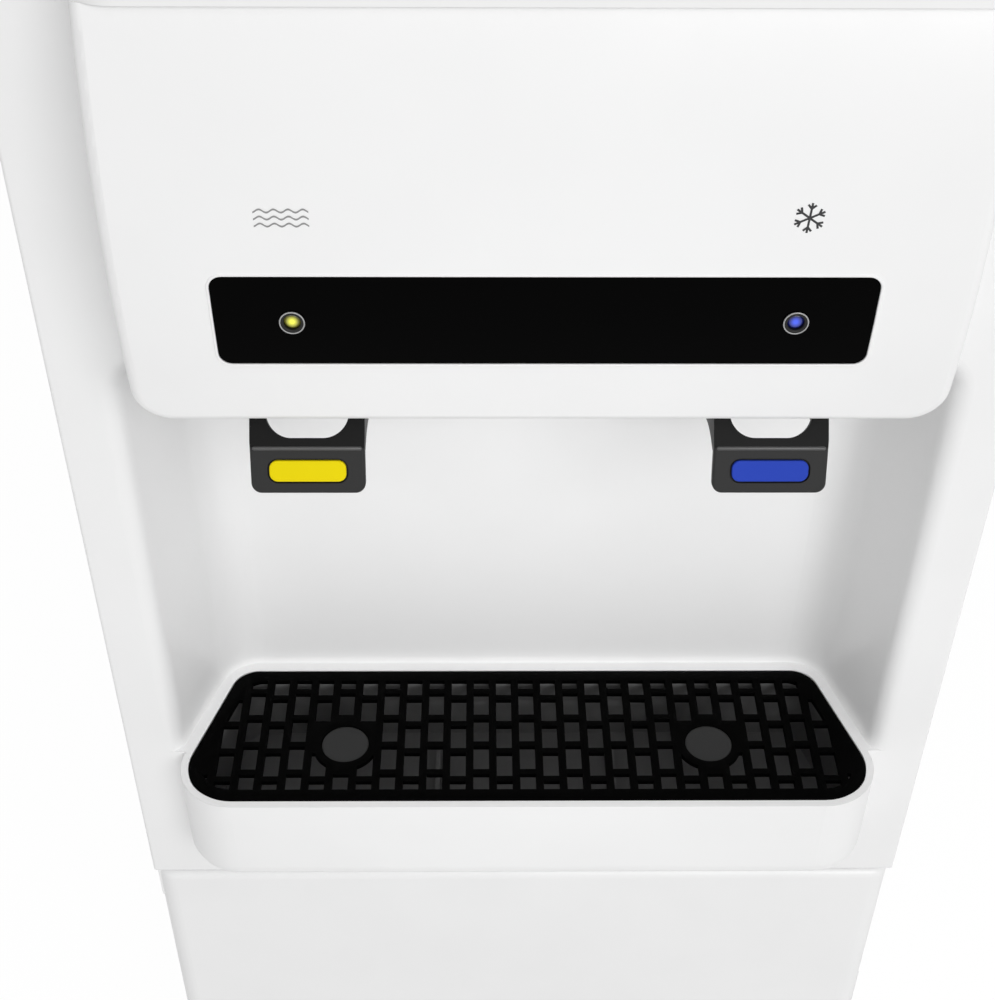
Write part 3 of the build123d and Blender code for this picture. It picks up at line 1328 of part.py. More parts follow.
magnet_face_y = door_back_y + 2 * fit
magnet_body_y = body_front_y + steel_sheet + fit
fold_edge_x = half_width - flange_width - fit
with BuildPart() as door_magnet:
    with Locations((strike_x - strike_width / 2, magnet_body_y, strike_z)):
        Box(liner_half - liner_wall - fit - strike_x + strike_width / 2, strike_width,
            strike_height, align=(Align.MIN, Align.MIN, Align.CENTER))
    with Locations((strike_x - strike_width / 2, magnet_face_y, strike_z)):
        Box(fold_edge_x - strike_x + strike_width / 2, magnet_body_y - magnet_face_y,
            strike_height, align=(Align.MIN, Align.MIN, Align.CENTER))
door_magnet.part.label = "door_magnet"
export_step(door_magnet.part, "parts/door_magnet.step")

# ---- Hinges ----------------------------------------------------------------------------
bracket_left = -half_width + 2 * fit
bracket_front = hinge_y - hinge_pin_diameter
bracket_back = body_front_y - fit
bracket_edge = 3.0


def hinge_bracket(plate_z, pin_direction):
    """A steel strap whose pin stands up or hangs down into the door."""
    with BuildPart() as bracket:
        with BuildSketch(Plane.XY.offset(plate_z)) as strap:
            with Locations((bracket_left + bracket_width / 2,
                            (bracket_front + bracket_back) / 2)):
                Rectangle(bracket_width, bracket_back - bracket_front)
            fillet(strap.vertices().group_by(Axis.Y)[0], bracket_edge)
        extrude(amount=bracket_sheet)
        pin_z = plate_z + (bracket_sheet if pin_direction > 0 else 0)
        with BuildSketch(Plane.XY.offset(pin_z)):
            with Locations((hinge_x, hinge_y)):
                Circle(hinge_pin_diameter / 2)
        extrude(amount=pin_direction * hinge_pin_length)
        tip = bracket.edges().filter_by(GeomType.CIRCLE).sort_by(Axis.Z)
        chamfer(tip[-1] if pin_direction > 0 else tip[0], hinge_pin_diameter / 8)
    return bracket.part


upper_hinge = hinge_bracket(apron_bottom_z - fit - bracket_sheet, -1)
upper_hinge.label = "upper_hinge"
export_step(upper_hinge, "parts/upper_hinge.step")

lower_plate_z = base_top_z + fit
with BuildPart() as lower_hinge_block:
    add(hinge_bracket(lower_plate_z, 1))
    with Locations((bracket_left + flange_width, bracket_back, lower_plate_z)):
        Box(bracket_width - flange_width, bracket_sheet, base_pan_height * 0.7,
            align=(Align.MIN, Align.MAX, Align.MAX))
lower_hinge = lower_hinge_block.part
lower_hinge.label = "lower_hinge"
export_step(lower_hinge, "parts/lower_hinge.step")

# ---- Back fittings ---------------------------------------------------------------------
bezel_sheet = 2.0
switch_body_depth = 16.0
rocker_pivot_y = rear_panel_y + bezel_sheet
with BuildPart() as power_switch:
    with Locations((switch_x, rear_panel_y, switch_level)):
        Box(switch_width + 2 * bezel_sheet, bezel_sheet, switch_height + 2 * bezel_sheet,
            align=(Align.CENTER, Align.MIN, Align.CENTER))
    fillet(power_switch.edges().group_by(Axis.Y)[-1], bezel_sheet / 2)
    with Locations((switch_x, rear_panel_y, switch_level)):
        Box(switch_width - fit, switch_body_depth, switch_height - fit,
            align=(Align.CENTER, Align.MAX, Align.CENTER))
    with Locations((switch_x, rear_panel_y + bezel_sheet, switch_level)):
        Box(switch_width - bezel_sheet, switch_body_depth - bezel_sheet,
            switch_height - bezel_sheet, mode=Mode.SUBTRACT,
            align=(Align.CENTER, Align.MAX, Align.CENTER))
power_switch.part.label = "power_switch"
export_step(power_switch.part, "parts/power_switch.step")

rocker_width = switch_width - bezel_sheet - running_gap
rocker_half = (switch_height - bezel_sheet) / 2 - 1.5 * running_gap
rocker_axis_depth = 2.5        # trunnions behind the face's middle
rocker_crown = 1.6
rocker_turn = radians(rocker_tilt)
rocker_plane = Plane(origin=(switch_x, rocker_pivot_y - rocker_axis_depth, switch_level),
                     x_dir=(0, cos(rocker_turn), -sin(rocker_turn)), z_dir=(1, 0, 0))
with BuildPart() as power_rocker:
    with BuildSketch(rocker_plane):
        with BuildLine():
            Polyline((rocker_axis_depth + rocker_crown, rocker_half), (rocker_axis_depth, 0),
                     (rocker_axis_depth + rocker_crown, -rocker_half),
                     (-rocker_axis_depth, -rocker_half * 0.7),
                     (-rocker_axis_depth, rocker_half * 0.7), close=True)
        make_face()
    extrude(amount=rocker_width / 2, both=True)
    with BuildSketch(rocker_plane):
        Circle(rocker_axis_depth / 2)
    extrude(amount=rocker_width / 2 + fit, both=True)
power_rocker.part.label = "power_rocker"
export_step(power_rocker.part, "parts/power_rocker.step")

inlet_depth = 18.0
inlet_pin = (2.0, 9.0, 4.0)
inlet_corner = 5.0
with BuildPart() as power_inlet:
    with BuildSketch(front_facing(rear_panel_y)):
        with Locations((inlet_x, inlet_level)):
            RectangleRounded(inlet_width + 4 * bezel_sheet, inlet_height + 4 * bezel_sheet,
                             inlet_corner)
    extrude(amount=-bezel_sheet)
    with Locations((inlet_x, rear_panel_y, inlet_level)):
        Box(inlet_width - fit, inlet_depth, inlet_height - fit,
            align=(Align.CENTER, Align.MAX, Align.CENTER))
    with Locations((inlet_x, rear_panel_y + bezel_sheet, inlet_level)):
        Box(inlet_width - 2 * bezel_sheet, inlet_depth - bezel_sheet,
            inlet_height - 2 * bezel_sheet, mode=Mode.SUBTRACT,
            align=(Align.CENTER, Align.MAX, Align.CENTER))
    with Locations((inlet_x, rear_panel_y - inlet_depth + 2 * bezel_sheet, inlet_level)):
        with Locations((-inlet_width / 4, 0, 0), (0, 0, inlet_height / 6),
                       (inlet_width / 4, 0, 0)):
            Box(*inlet_pin, align=(Align.CENTER, Align.MIN, Align.CENTER))
power_inlet.part.label = "power_inlet"
export_step(power_inlet.part, "parts/power_inlet.step")

drain_reach = 10.0
drain_wall = 2.4
with BuildPart() as drain_spigot:
    with BuildSketch(front_facing(rear_panel_y)):
        with Locations((drain_x, drain_level)):
            RegularPolygon(drain_bore * 1.4, 6)
    extrude(amount=-bezel_sheet)
    with BuildSketch(front_facing(rear_panel_y + bezel_sheet)):
        with Locations((drain_x, drain_level)):
            Circle(drain_bore / 2 + drain_wall)
    extrude(amount=-drain_reach, both=False)
    with BuildSketch(front_facing(rear_panel_y + bezel_sheet)):
        with Locations((drain_x, drain_level)):
            Circle(drain_bore / 2 + drain_wall)
    extrude(amount=2 * drain_reach)
    with BuildSketch(front_facing(rear_panel_y + bezel_sheet + drain_reach)):
        with Locations((drain_x, drain_level)):
            Circle(drain_bore / 2)
    extrude(amount=4 * drain_reach, mode=Mode.SUBTRACT)
drain_spigot.part.label = "drain_spigot"
export_step(drain_spigot.part, "parts/drain_spigot.step")
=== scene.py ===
import bpy
from math import atan2, cos, hypot, pi, radians, sin, sqrt, tan
from mathutils import Matrix, Vector


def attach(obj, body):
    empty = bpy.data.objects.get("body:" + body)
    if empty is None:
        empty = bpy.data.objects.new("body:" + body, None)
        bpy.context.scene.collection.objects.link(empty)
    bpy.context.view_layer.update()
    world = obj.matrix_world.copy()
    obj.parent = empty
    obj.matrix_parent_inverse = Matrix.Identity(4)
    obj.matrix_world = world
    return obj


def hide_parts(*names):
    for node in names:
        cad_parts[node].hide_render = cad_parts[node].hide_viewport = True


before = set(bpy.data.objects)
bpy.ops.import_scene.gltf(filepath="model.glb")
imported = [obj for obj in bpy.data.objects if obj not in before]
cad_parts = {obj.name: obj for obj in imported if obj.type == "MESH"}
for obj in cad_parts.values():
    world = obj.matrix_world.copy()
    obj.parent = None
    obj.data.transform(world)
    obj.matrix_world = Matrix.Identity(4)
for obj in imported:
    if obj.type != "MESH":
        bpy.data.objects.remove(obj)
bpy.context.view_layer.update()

# Studio. A person stands in front of the cooler and looks down at the drip tray. The lens
# is a short telephoto, and its place and tilt were worked out from the edges of the alcove,
# the strip and the tray.
front_face = -0.156            # plane of the stiles beside the alcove
ledge = 0.715                  # top of the drip grate
eye_side, eye_back, eye_rise = -0.0176, 0.4043, 0.4627
pitch, yaw, tilt = radians(39.7), radians(0.74), radians(-0.45)
sensor = 36
photo_width, focal_length = 995, 1560          # in pixels of the photograph
sight = Vector((sin(yaw) * cos(pitch), cos(yaw) * cos(pitch), -sin(pitch)))
across = Vector((cos(yaw), -sin(yaw), 0))
upward = across.cross(sight)
right = across * cos(tilt) - upward * sin(tilt)
up = across * sin(tilt) + upward * cos(tilt)
bpy.ops.object.camera_add(location=(eye_side, front_face - eye_back, ledge + eye_rise))
camera = bpy.context.object
camera.matrix_world = (Matrix.Translation(camera.location)
                       @ Matrix((right, up, -sight)).transposed().to_4x4())
camera.data.sensor_fit = "HORIZONTAL"
camera.data.sensor_width = sensor
camera.data.lens = sensor * focal_length / photo_width
bpy.context.scene.camera = camera
bpy.context.scene.view_settings.view_transform = "Standard"


def linear(shade):
    """An sRGB hex value as the linear colour that the shaders take."""
    parts = [int(shade[i:i + 2], 16) / 255 for i in (0, 2, 4)]
    return [p / 12.92 if p <= 0.04045 else ((p + 0.055) / 1.055) ** 2.4 for p in parts] + [1]


def add(tree, kind, settings=(), links=()):
    """Add a node to a tree, with its settings and the sockets that feed it."""
    made = tree.nodes.new(kind)
    for key, value in dict(settings).items():
        if isinstance(key, str) and key not in made.inputs:
            setattr(made, key, value)
        else:
            made.inputs[key].default_value = value
    for key, source in dict(links).items():
        tree.links.new(source, made.inputs[key])
    return made


def seen_by(tree, *rays):
    """One for rays of the listed kinds, and zero for the rest, which only carry light."""
    path = add(tree, "ShaderNodeLightPath")
    seen = path.outputs[rays[0]]
    for ray in rays[1:]:
        seen = add(tree, "ShaderNodeMath", {"operation": "MAXIMUM"},
                   {0: seen, 1: path.outputs[ray]}).outputs[0]
    return seen


# The room is a pale cove. The world is white to the eye and in reflections, and lights the
# cooler evenly and more softly than that.
world = bpy.data.worlds.new("studio")
bpy.context.scene.world = world
world.use_nodes = True
world.node_tree.nodes.clear()
tree = world.node_tree
seen = seen_by(tree, "Is Camera Ray", "Is Glossy Ray", "Is Transmission Ray")
soft = add(tree, "ShaderNodeBackground", {"Color": linear("F6F6F6"), "Strength": 0.58})
white = add(tree, "ShaderNodeBackground", {"Color": linear("FFFFFF"), "Strength": 1.0})
mix = add(tree, "ShaderNodeMixShader", {}, {0: seen, 1: soft.outputs[0], 2: white.outputs[0]})
add(tree, "ShaderNodeOutputWorld", {}, {"Surface": mix.outputs[0]})


def hang(name, kind, place, target, power):
    """Hang a lamp at a place, pointed at a target, and give back its settings."""
    bpy.ops.object.light_add(type=kind, location=place)
    lamp = bpy.context.object
    lamp.name = name
    lamp.rotation_euler = (Vector(target) - Vector(place)).to_track_quat("-Z", "Y").to_euler()
    lamp.data.energy = power
    return lamp.data


# Two soft boxes: a broad one in front, high and to the right, which reaches down into the
# alcove and leaves its right wall a little darker, and a weak one overhead.
for name, place, target, size, power in (
        ("front_box", (0.8, -2.3, 1.9), (0, 0, 0.80), (1.6, 1.2), 27.5),
        ("top_box", (0.2, -1.5, 2.6), (0, -0.1, 0.8), (1.2, 0.8), 2)):
    lamp = hang(name, "AREA", place, target, power)
    lamp.shape = "RECTANGLE"
    lamp.size, lamp.size_y = size

# Two narrow spots cross under the head and fill the low part of the alcove, which the black
# tray leaves without light.
spot_power, spot_radius, spot_cone = 27, 0.12, radians(6.5)
for name, side in (("left_spot", -1), ("right_spot", 1)):
    lamp = hang(name, "SPOT", (0.6 * side, -2.0, ledge + 0.84),
                (-0.05 * side, 0, ledge + 0.03), spot_power)
    lamp.shadow_soft_size = spot_radius
    lamp.spot_size, lamp.spot_blend = spot_cone, 1.0


def blank(name):
    """A new material with an empty node tree."""
    made = bpy.data.materials.new(name)
    made.use_nodes = True
    made.node_tree.nodes.clear()
    return made, made.node_tree


# The floor of the cove glows white where it is looked at, so that no horizon shows, and it
# bounces a soft pale light up onto the cooler.
bpy.ops.object.select_all(action="DESELECT")
bpy.ops.mesh.primitive_plane_add(size=14, location=(0, 0, -0.0005))
floor = bpy.context.object
floor.name = "studio_floor"
floor_paint, tree = blank("matt_cove_paint")
seen = seen_by(tree, "Is Camera Ray", "Is Glossy Ray")
shade = add(tree, "ShaderNodeMath", {"operation": "MULTIPLY", 1: 0.9}, {0: seen})
matt = add(tree, "ShaderNodeBsdfDiffuse", {"Color": linear("E6E6E6")})
glow = add(tree, "ShaderNodeEmission", {"Color": linear("FFFFFF"), "Strength": 1.05})
mix = add(tree, "ShaderNodeMixShader", {},
          {0: shade.outputs[0], 1: matt.outputs[0], 2: glow.outputs[0]})
add(tree, "ShaderNodeOutputMaterial", {}, {"Surface": mix.outputs[0]})
floor.data.materials.append(floor_paint)


def moulded(name, shade, roughness, grain, relief, edge=0.0004, specular=0.5):
    """Injection moulded plastic: a base colour, a fine spark-eroded grain and soft edges.
    The grain's width, its relief and the radius of the edges are in metres."""
    made, tree = blank(name)
    place = add(tree, "ShaderNodeTexCoord")
    # the grain is drawn about twice as coarse as real, so that it shows at all
    grit = add(tree, "ShaderNodeTexNoise", {"Scale": 1 / grain, "Detail": 3.0, "Roughness": 0.6},
               {"Vector": place.outputs["Object"]})
    soften = add(tree, "ShaderNodeBevel", {"samples": 4, "Radius": edge})
    bump = add(tree, "ShaderNodeBump", {"Strength": 0.5, "Distance": relief},
               {"Height": grit.outputs["Fac"], "Normal": soften.outputs[0]})
    # handling and moulding leave the sheen a little uneven over some 40 mm
    cloud = add(tree, "ShaderNodeTexNoise", {"Scale": 25.0, "Detail": 2.0},
                {"Vector": place.outputs["Object"]})
    sheen = add(tree, "ShaderNodeMapRange", {"From Min": 0.3, "From Max": 0.7,
                                             "To Min": roughness - 0.04,
                                             "To Max": roughness + 0.04},
                {"Value": cloud.outputs["Fac"]})
    worn = add(tree, "ShaderNodeMapRange", {"From Min": 0.4, "From Max": 0.85,
                                            "To Min": 0.0, "To Max": 0.35},
               {"Value": cloud.outputs["Fac"]})
    tint = add(tree, "ShaderNodeMix", {"data_type": "RGBA", 6: linear(shade),
                                       7: [0.94 * c for c in linear(shade)[:3]] + [1]},
               {0: worn.outputs[0]})
    skin = add(tree, "ShaderNodeBsdfPrincipled", {"IOR": 1.54, "Specular IOR Level": specular},
               {"Base Color": tint.outputs[2], "Roughness": sheen.outputs[0],
                "Normal": bump.outputs[0]})
    add(tree, "ShaderNodeOutputMaterial", {}, {"Surface": skin.outputs[0]})
    return made


def dress(finish, *names):
    """Give CAD nodes a finish in place of their plain one."""
    for name in names:
        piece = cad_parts[name]
        piece.data.materials.clear()
        piece.data.materials.append(finish)


# Front moulding, alcove, head panel, top cover and door: white ABS, injection moulded and
# satin. It has hardly any grain, so the eye sees a smooth white with soft broad highlights.
white_abs = moulded("satin_white_abs", "F4F4F4", 0.36, 0.0007, 0.00001)
dress(white_abs, "front_frame", "head_panel", "top_cover", "door_panel")

# Bottle compartment, door liner, probe, spouts, magnet's case and tank lid: natural white
# polystyrene, vacuum formed or moulded without polish, so it is duller than the front. The
# bottle stands on grey polypropylene.
matt_ps = moulded("matt_white_polystyrene", "E9EAE7", 0.55, 0.0011, 0.00003)
dress(matt_ps, "bottle_liner", "door_liner", "suction_probe", "probe_holder", "tank_lid",
      "door_magnet", "spouts")
bottle_seat = moulded("grey_ribbed_polypropylene", "9A9C9D", 0.5, 0.0015, 0.00005)
dress(bottle_seat, "bottle_floor")

# Side and rear panels: sheet steel with a baked powder coat. The coat levels into a fine
# orange peel about 1.5 mm across, which breaks up the edges of reflections.
for name, shade, nodes in (
        ("white_powder_coat", "EEEEED", ("left_side_panel", "right_side_panel")),
        ("grey_powder_coat", "A9ABAD", ("rear_panel",))):
    coat, tree = blank(name)
    place = add(tree, "ShaderNodeTexCoord")
    peel = add(tree, "ShaderNodeTexNoise", {"Scale": 650.0, "Detail": 1.0},
               {"Vector": place.outputs["Object"]})
    speck = add(tree, "ShaderNodeTexNoise", {"Scale": 9.0, "Detail": 3.0},
                {"Vector": place.outputs["Object"]})
    gloss = add(tree, "ShaderNodeMapRange", {"To Min": 0.36, "To Max": 0.48},
                {"Value": speck.outputs["Fac"]})
    soften = add(tree, "ShaderNodeBevel", {"samples": 4, "Radius": 0.0005})
    bump = add(tree, "ShaderNodeBump", {"Strength": 0.35, "Distance": 0.00003},
               {"Height": peel.outputs["Fac"], "Normal": soften.outputs[0]})
    skin = add(tree, "ShaderNodeBsdfPrincipled", {"Base Color": linear(shade), "IOR": 1.5},
               {"Roughness": gloss.outputs[0], "Normal": bump.outputs[0]})
    add(tree, "ShaderNodeOutputMaterial", {}, {"Surface": skin.outputs[0]})
    dress(coat, *nodes)

# Base pan, machine shelf, hinges, strike and screws: hot-dip galvanised sheet and zinc
# plated steel. The zinc crystals are flat flowers some 8 mm wide with grey steps between.
zinc, tree = blank("galvanised_steel")
place = add(tree, "ShaderNodeTexCoord")
spangle = add(tree, "ShaderNodeTexVoronoi", {"Scale": 120.0},
              {"Vector": place.outputs["Object"]})
grey = add(tree, "ShaderNodeSeparateColor", {}, {"Color": spangle.outputs["Color"]})
tone = add(tree, "ShaderNodeMix", {"data_type": "RGBA", 6: linear("B9BCBF"),
                                   7: linear("D3D5D7")}, {0: grey.outputs[0]})
gloss = add(tree, "ShaderNodeMapRange", {"To Min": 0.28, "To Max": 0.46},
            {"Value": grey.outputs[1]})
skin = add(tree, "ShaderNodeBsdfPrincipled", {"Metallic": 1.0},
           {"Base Color": tone.outputs[2], "Roughness": gloss.outputs[0]})
add(tree, "ShaderNodeOutputMaterial", {}, {"Surface": skin.outputs[0]})
dress(zinc, "base_pan", "machine_shelf", "upper_hinge", "lower_hinge", "door_strike",
      "rear_screws")


def fresh(primitive, name, scale=(1, 1, 1), **shape):
    """Add a primitive, name it, and put its place, turn and scale into its mesh."""
    bpy.ops.object.select_all(action="DESELECT")
    primitive(**shape)
    made = bpy.context.object
    made.scale = scale
    made.name = name
    made.data.name = name
    bpy.ops.object.transform_apply(location=True, rotation=True, scale=True)
    return made


def carve(piece, tool, operation="DIFFERENCE"):
    """Cut a piece with a tool, which is then done with."""
    cut = piece.modifiers.new("carve", "BOOLEAN")
    cut.operation, cut.object, cut.solver = operation, tool, "EXACT"
    bpy.context.view_layer.objects.active = piece
    bpy.ops.object.modifier_apply(modifier="carve")
    bpy.data.objects.remove(tool)


def twin(piece, move):
    """A copy of a piece with its own mesh, moved by a matrix."""
    made = piece.copy()
    made.data = piece.data.copy()
    made.data.transform(move)
    bpy.context.collection.objects.link(made)
    return made


# Rear screws: zinc plated pan heads with a cross recess, five down each edge of the rear
# panel. One head is turned and punched, and the others are copies of it, each driven home
# at its own angle.
screw_radius, screw_height, screw_dome = 0.004, 0.0022, 0.0012
screw_x, screw_y = 0.149, 0.1751
cross_length, cross_depth, cross_width = 0.0044, 0.0022, 0.0009
head = fresh(bpy.ops.mesh.primitive_cylinder_add, "screw_head", vertices=40,
             radius=screw_radius, depth=screw_height, location=(0, screw_y, 0),
             rotation=(pi / 2, 0, 0))
for face in head.data.polygons:
    face.select = face.normal.y > 0.9
bpy.ops.object.mode_set(mode="EDIT")
bpy.ops.mesh.select_mode(type="FACE")
bpy.ops.mesh.bevel(offset=screw_dome, segments=5, affect="EDGES")
bpy.ops.object.mode_set(mode="OBJECT")
for turn in (0, pi / 2):
    punch = fresh(bpy.ops.mesh.primitive_cube_add, "punch",
                  (cross_length, cross_depth, cross_width), size=1,
                  location=(0, screw_y + screw_height / 2, 0), rotation=(0, turn, 0))
    carve(head, punch)
for side in (-1, 1):
    for number, level in enumerate((0.090, 0.300, 0.510, 0.720, 1.000)):
        turned = Matrix.Rotation(0.7 * number + side, 4, "Y")
        copy = twin(head, Matrix.Translation((side * screw_x, 0, level)) @ turned)
        copy.name = f"rear_screw_{'left' if side < 0 else 'right'}_{number + 1}"
        bpy.ops.object.select_all(action="DESELECT")
        copy.select_set(True)
        bpy.context.view_layer.objects.active = copy
        bpy.ops.object.shade_smooth_by_angle(angle=radians(35))
        copy.data.materials.append(zinc)
        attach(copy, "cabinet")
bpy.data.objects.remove(head)

# Display strip: a black acrylic window, polished, set into the bowed panel. The room hardly
# shows in it, because an etched coat takes most of the reflection away.
acrylic = moulded("black_acrylic_window", "020202", 0.12, 0.002, 0.000002, 0.0003, 0.02)
dress(acrylic, "display_strip")

# The face of the head panel is a cylinder lying on its side. What is printed or laid on it
# follows that curve, at a height lift over the plastic.
head_bottom = ledge + 0.181
bow_radius = 0.250
bow_axis = (front_face - 0.035 + bow_radius, head_bottom + 0.058)
strip_middle = head_bottom + 0.0395
icon_level = head_bottom + 0.0728
outlet = 0.071                 # lights, levers and tray discs stand this far from the middle


def bow_front(level):
    """Where the bowed face stands at a level."""
    return bow_axis[0] - sqrt(bow_radius ** 2 - (level - bow_axis[1]) ** 2)


def lay_on_bow(piece, lift):
    """Move a flat piece's points back or forth onto the bowed face."""
    for point in piece.data.vertices:
        point.co.y += bow_front(point.co.z) - lift


def round_edges(piece, width, segments, least_angle=30):
    """Round the edges of a piece that turn by more than the least angle, in degrees."""
    bevel = piece.modifiers.new("round_over", "BEVEL")
    bevel.width, bevel.segments, bevel.angle_limit = width, segments, radians(least_angle)
    bpy.ops.object.modifier_apply(modifier="round_over")


# Bead round the strip: the edge of the panel's opening is rolled over the window, and it
# catches the light as a thin white line.
bead_length, bead_height, bead_corner = 0.1880, 0.0324, 0.0047
bead_width, bead_depth, bead_sunk = 0.0009, 0.0007, 0.0004
bead = fresh(bpy.ops.mesh.primitive_plane_add, "strip_bead", (bead_length, bead_height, 1),
             size=1, location=(0, 0, strip_middle), rotation=(pi / 2, 0, 0))
bpy.ops.object.mode_set(mode="EDIT")
bpy.ops.mesh.select_all(action="SELECT")
bpy.ops.mesh.bevel(offset=bead_corner, segments=8, affect="VERTICES")
bpy.ops.mesh.inset(thickness=bead_width)
bpy.ops.mesh.delete(type="FACE")
bpy.ops.mesh.select_all(action="SELECT")
bpy.ops.mesh.subdivide(number_cuts=1)
bpy.ops.mesh.extrude_region_move(TRANSFORM_OT_translate={"value": (0, -bead_depth, 0)})
bpy.ops.mesh.select_all(action="SELECT")
bpy.ops.mesh.normals_make_consistent(inside=False)
bpy.ops.object.mode_set(mode="OBJECT")
lay_on_bow(bead, -bead_sunk)
round_edges(bead, 0.0003, 3)
bpy.ops.object.shade_smooth_by_angle(angle=radians(50))
bead.data.materials.append(white_abs)
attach(bead, "cabinet")

# Lights: a clear domed lens pressed into a turned ring. The lamp behind is lit, so the
# lens is bright in the middle and deeper towards its edge.
for name, node, x, edge, core, power in (
        ("yellow_polycarbonate_lens", "room_light", -outlet, "5C5A1C", "E6E64A", 0.42),
        ("blue_polycarbonate_lens", "cold_light", outlet, "0E1550", "3C56DC", 0.4)):
    lens, tree = blank(name)
    place = add(tree, "ShaderNodeTexCoord")
    # the glow fades with the distance from the lens's axis
    centre = add(tree, "ShaderNodeMapping", {"Location": (-x, 0, -strip_middle)},
                 {"Vector": place.outputs["Object"]})
    flat = add(tree, "ShaderNodeVectorMath", {"operation": "MULTIPLY", 1: (1, 0, 1)},
               {0: centre.outputs[0]})
    reach = add(tree, "ShaderNodeVectorMath", {"operation": "LENGTH"}, {0: flat.outputs[0]})
    fade = add(tree, "ShaderNodeMapRange", {"From Min": 0.0005, "From Max": 0.0018,
                                            "To Min": 1.0, "To Max": 0.0},
               {"Value": reach.outputs["Value"]})
    tone = add(tree, "ShaderNodeMix", {"data_type": "RGBA", 6: linear(edge), 7: linear(core)},
               {0: fade.outputs[0]})
    skin = add(tree, "ShaderNodeBsdfPrincipled",
               {"Roughness": 0.08, "IOR": 1.58, "Emission Strength": power},
               {"Base Color": tone.outputs[2], "Emission Color": tone.outputs[2]})
    add(tree, "ShaderNodeOutputMaterial", {}, {"Surface": skin.outputs[0]})
    dress(lens, node)
ring_abs = moulded("dark_turned_ring", "1C1C1B", 0.35, 0.0004, 0.000004, 0.0002, 0.2)
dress(ring_abs, "led_bezels")

# The outer edge of each ring is a thin pale torus, a painted highlight for the light that
# its edge catches. The ring stands 0.5 mm proud of the bowed face.
bright = moulded("painted_highlight_edge", "A8A8A8", 0.3, 0.0004, 0.000002, 0.0001)
ring_proud, ring_radius, edge_radius, edge_sunk = 0.0005, 0.00345, 0.00021, 0.00012
edge_y = bow_front(strip_middle) - ring_proud + edge_sunk
for name, x in (("room_light_edge", -outlet), ("cold_light_edge", outlet)):
    turned_edge = fresh(bpy.ops.mesh.primitive_torus_add, name, major_radius=ring_radius,
                        minor_radius=edge_radius, major_segments=64, minor_segments=10,
                        location=(x, edge_y, strip_middle), rotation=(pi / 2, 0, 0))
    bpy.ops.object.shade_smooth()
    turned_edge.data.materials.append(bright)
    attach(turned_edge, "cabinet")


def join(pieces, name):
    """Join pieces into the first of them."""
    bpy.ops.object.select_all(action="DESELECT")
    for piece in pieces:
        piece.select_set(True)
    bpy.context.view_layer.objects.active = pieces[0]
    bpy.ops.object.join()
    pieces[0].name = name
    return pieces[0]


# Icons: pad printed in grey ink on the bowed face. Three wavy lines mean water at room
# temperature.
ink = moulded("grey_pad_print_ink", "8C8C8C", 0.5, 0.0003, 0.000003, 0.0001)
ink_thick = 0.00006
waves_x, wave_pitch = -0.0714, 0.00206
wave_length, wave_height, stroke, period = 0.0149, 0.00046, 0.00052, 0.00392
first_crest = waves_x - wave_length / 2 + 0.0017
rows = []
for row in (-1, 0, 1):
    wave = fresh(bpy.ops.mesh.primitive_plane_add, f"wave_{row + 2}", (wave_length, stroke, 1),
                 size=1, location=(waves_x, 0, icon_level + row * wave_pitch),
                 rotation=(pi / 2, 0, 0))
    bpy.ops.object.mode_set(mode="EDIT")
    bpy.ops.mesh.select_all(action="SELECT")
    bpy.ops.mesh.subdivide(number_cuts=47)
    bpy.ops.object.mode_set(mode="OBJECT")
    for point in wave.data.vertices:
        point.co.z += wave_height * cos(2 * pi * (point.co.x - first_crest) / period)
    rows.append(wave)
waves = join(rows, "icon_waves")
lay_on_bow(waves, ink_thick)
waves.data.materials.append(ink)
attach(waves, "cabinet")

# A snowflake means chilled water: six arms, each with a pair of side strokes. One arm is
# drawn, then turned about the middle and copied.
dark_ink = moulded("dark_pad_print_ink", "1E1E20", 0.5, 0.0003, 0.000003, 0.0001)
middle = Vector((0.0704, 0, icon_level + 0.0002))
bar_width, arm_length, branch_start, branch_length = 0.0006, 0.0044, 0.0027, 0.0016
flake_tilt = 5
arm = []
for start, length, lean in ((0.0, arm_length, 0), (branch_start, branch_length, 45),
                            (branch_start, branch_length, -45)):
    bar = fresh(bpy.ops.mesh.primitive_plane_add, "bar", (bar_width, length, 1), size=1,
                location=middle + Vector((0, 0, start + length / 2)), rotation=(pi / 2, 0, 0))
    bpy.ops.object.mode_set(mode="EDIT")
    bpy.ops.mesh.select_all(action="SELECT")
    bpy.ops.transform.rotate(value=radians(lean), orient_axis="Y", orient_type="GLOBAL",
                             center_override=middle + Vector((0, 0, start)))
    bpy.ops.object.mode_set(mode="OBJECT")
    arm.append(bar)
bars = []
for turn in range(6):
    spin = (Matrix.Translation(middle) @ Matrix.Rotation(radians(60 * turn + flake_tilt), 4, "Y")
            @ Matrix.Translation(-middle))
    bars += [twin(bar, spin) for bar in arm]
for bar in arm:
    bpy.data.objects.remove(bar)
flake = join(bars, "icon_snowflake")
lay_on_bow(flake, ink_thick)
flake.data.materials.append(dark_ink)
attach(flake, "cabinet")
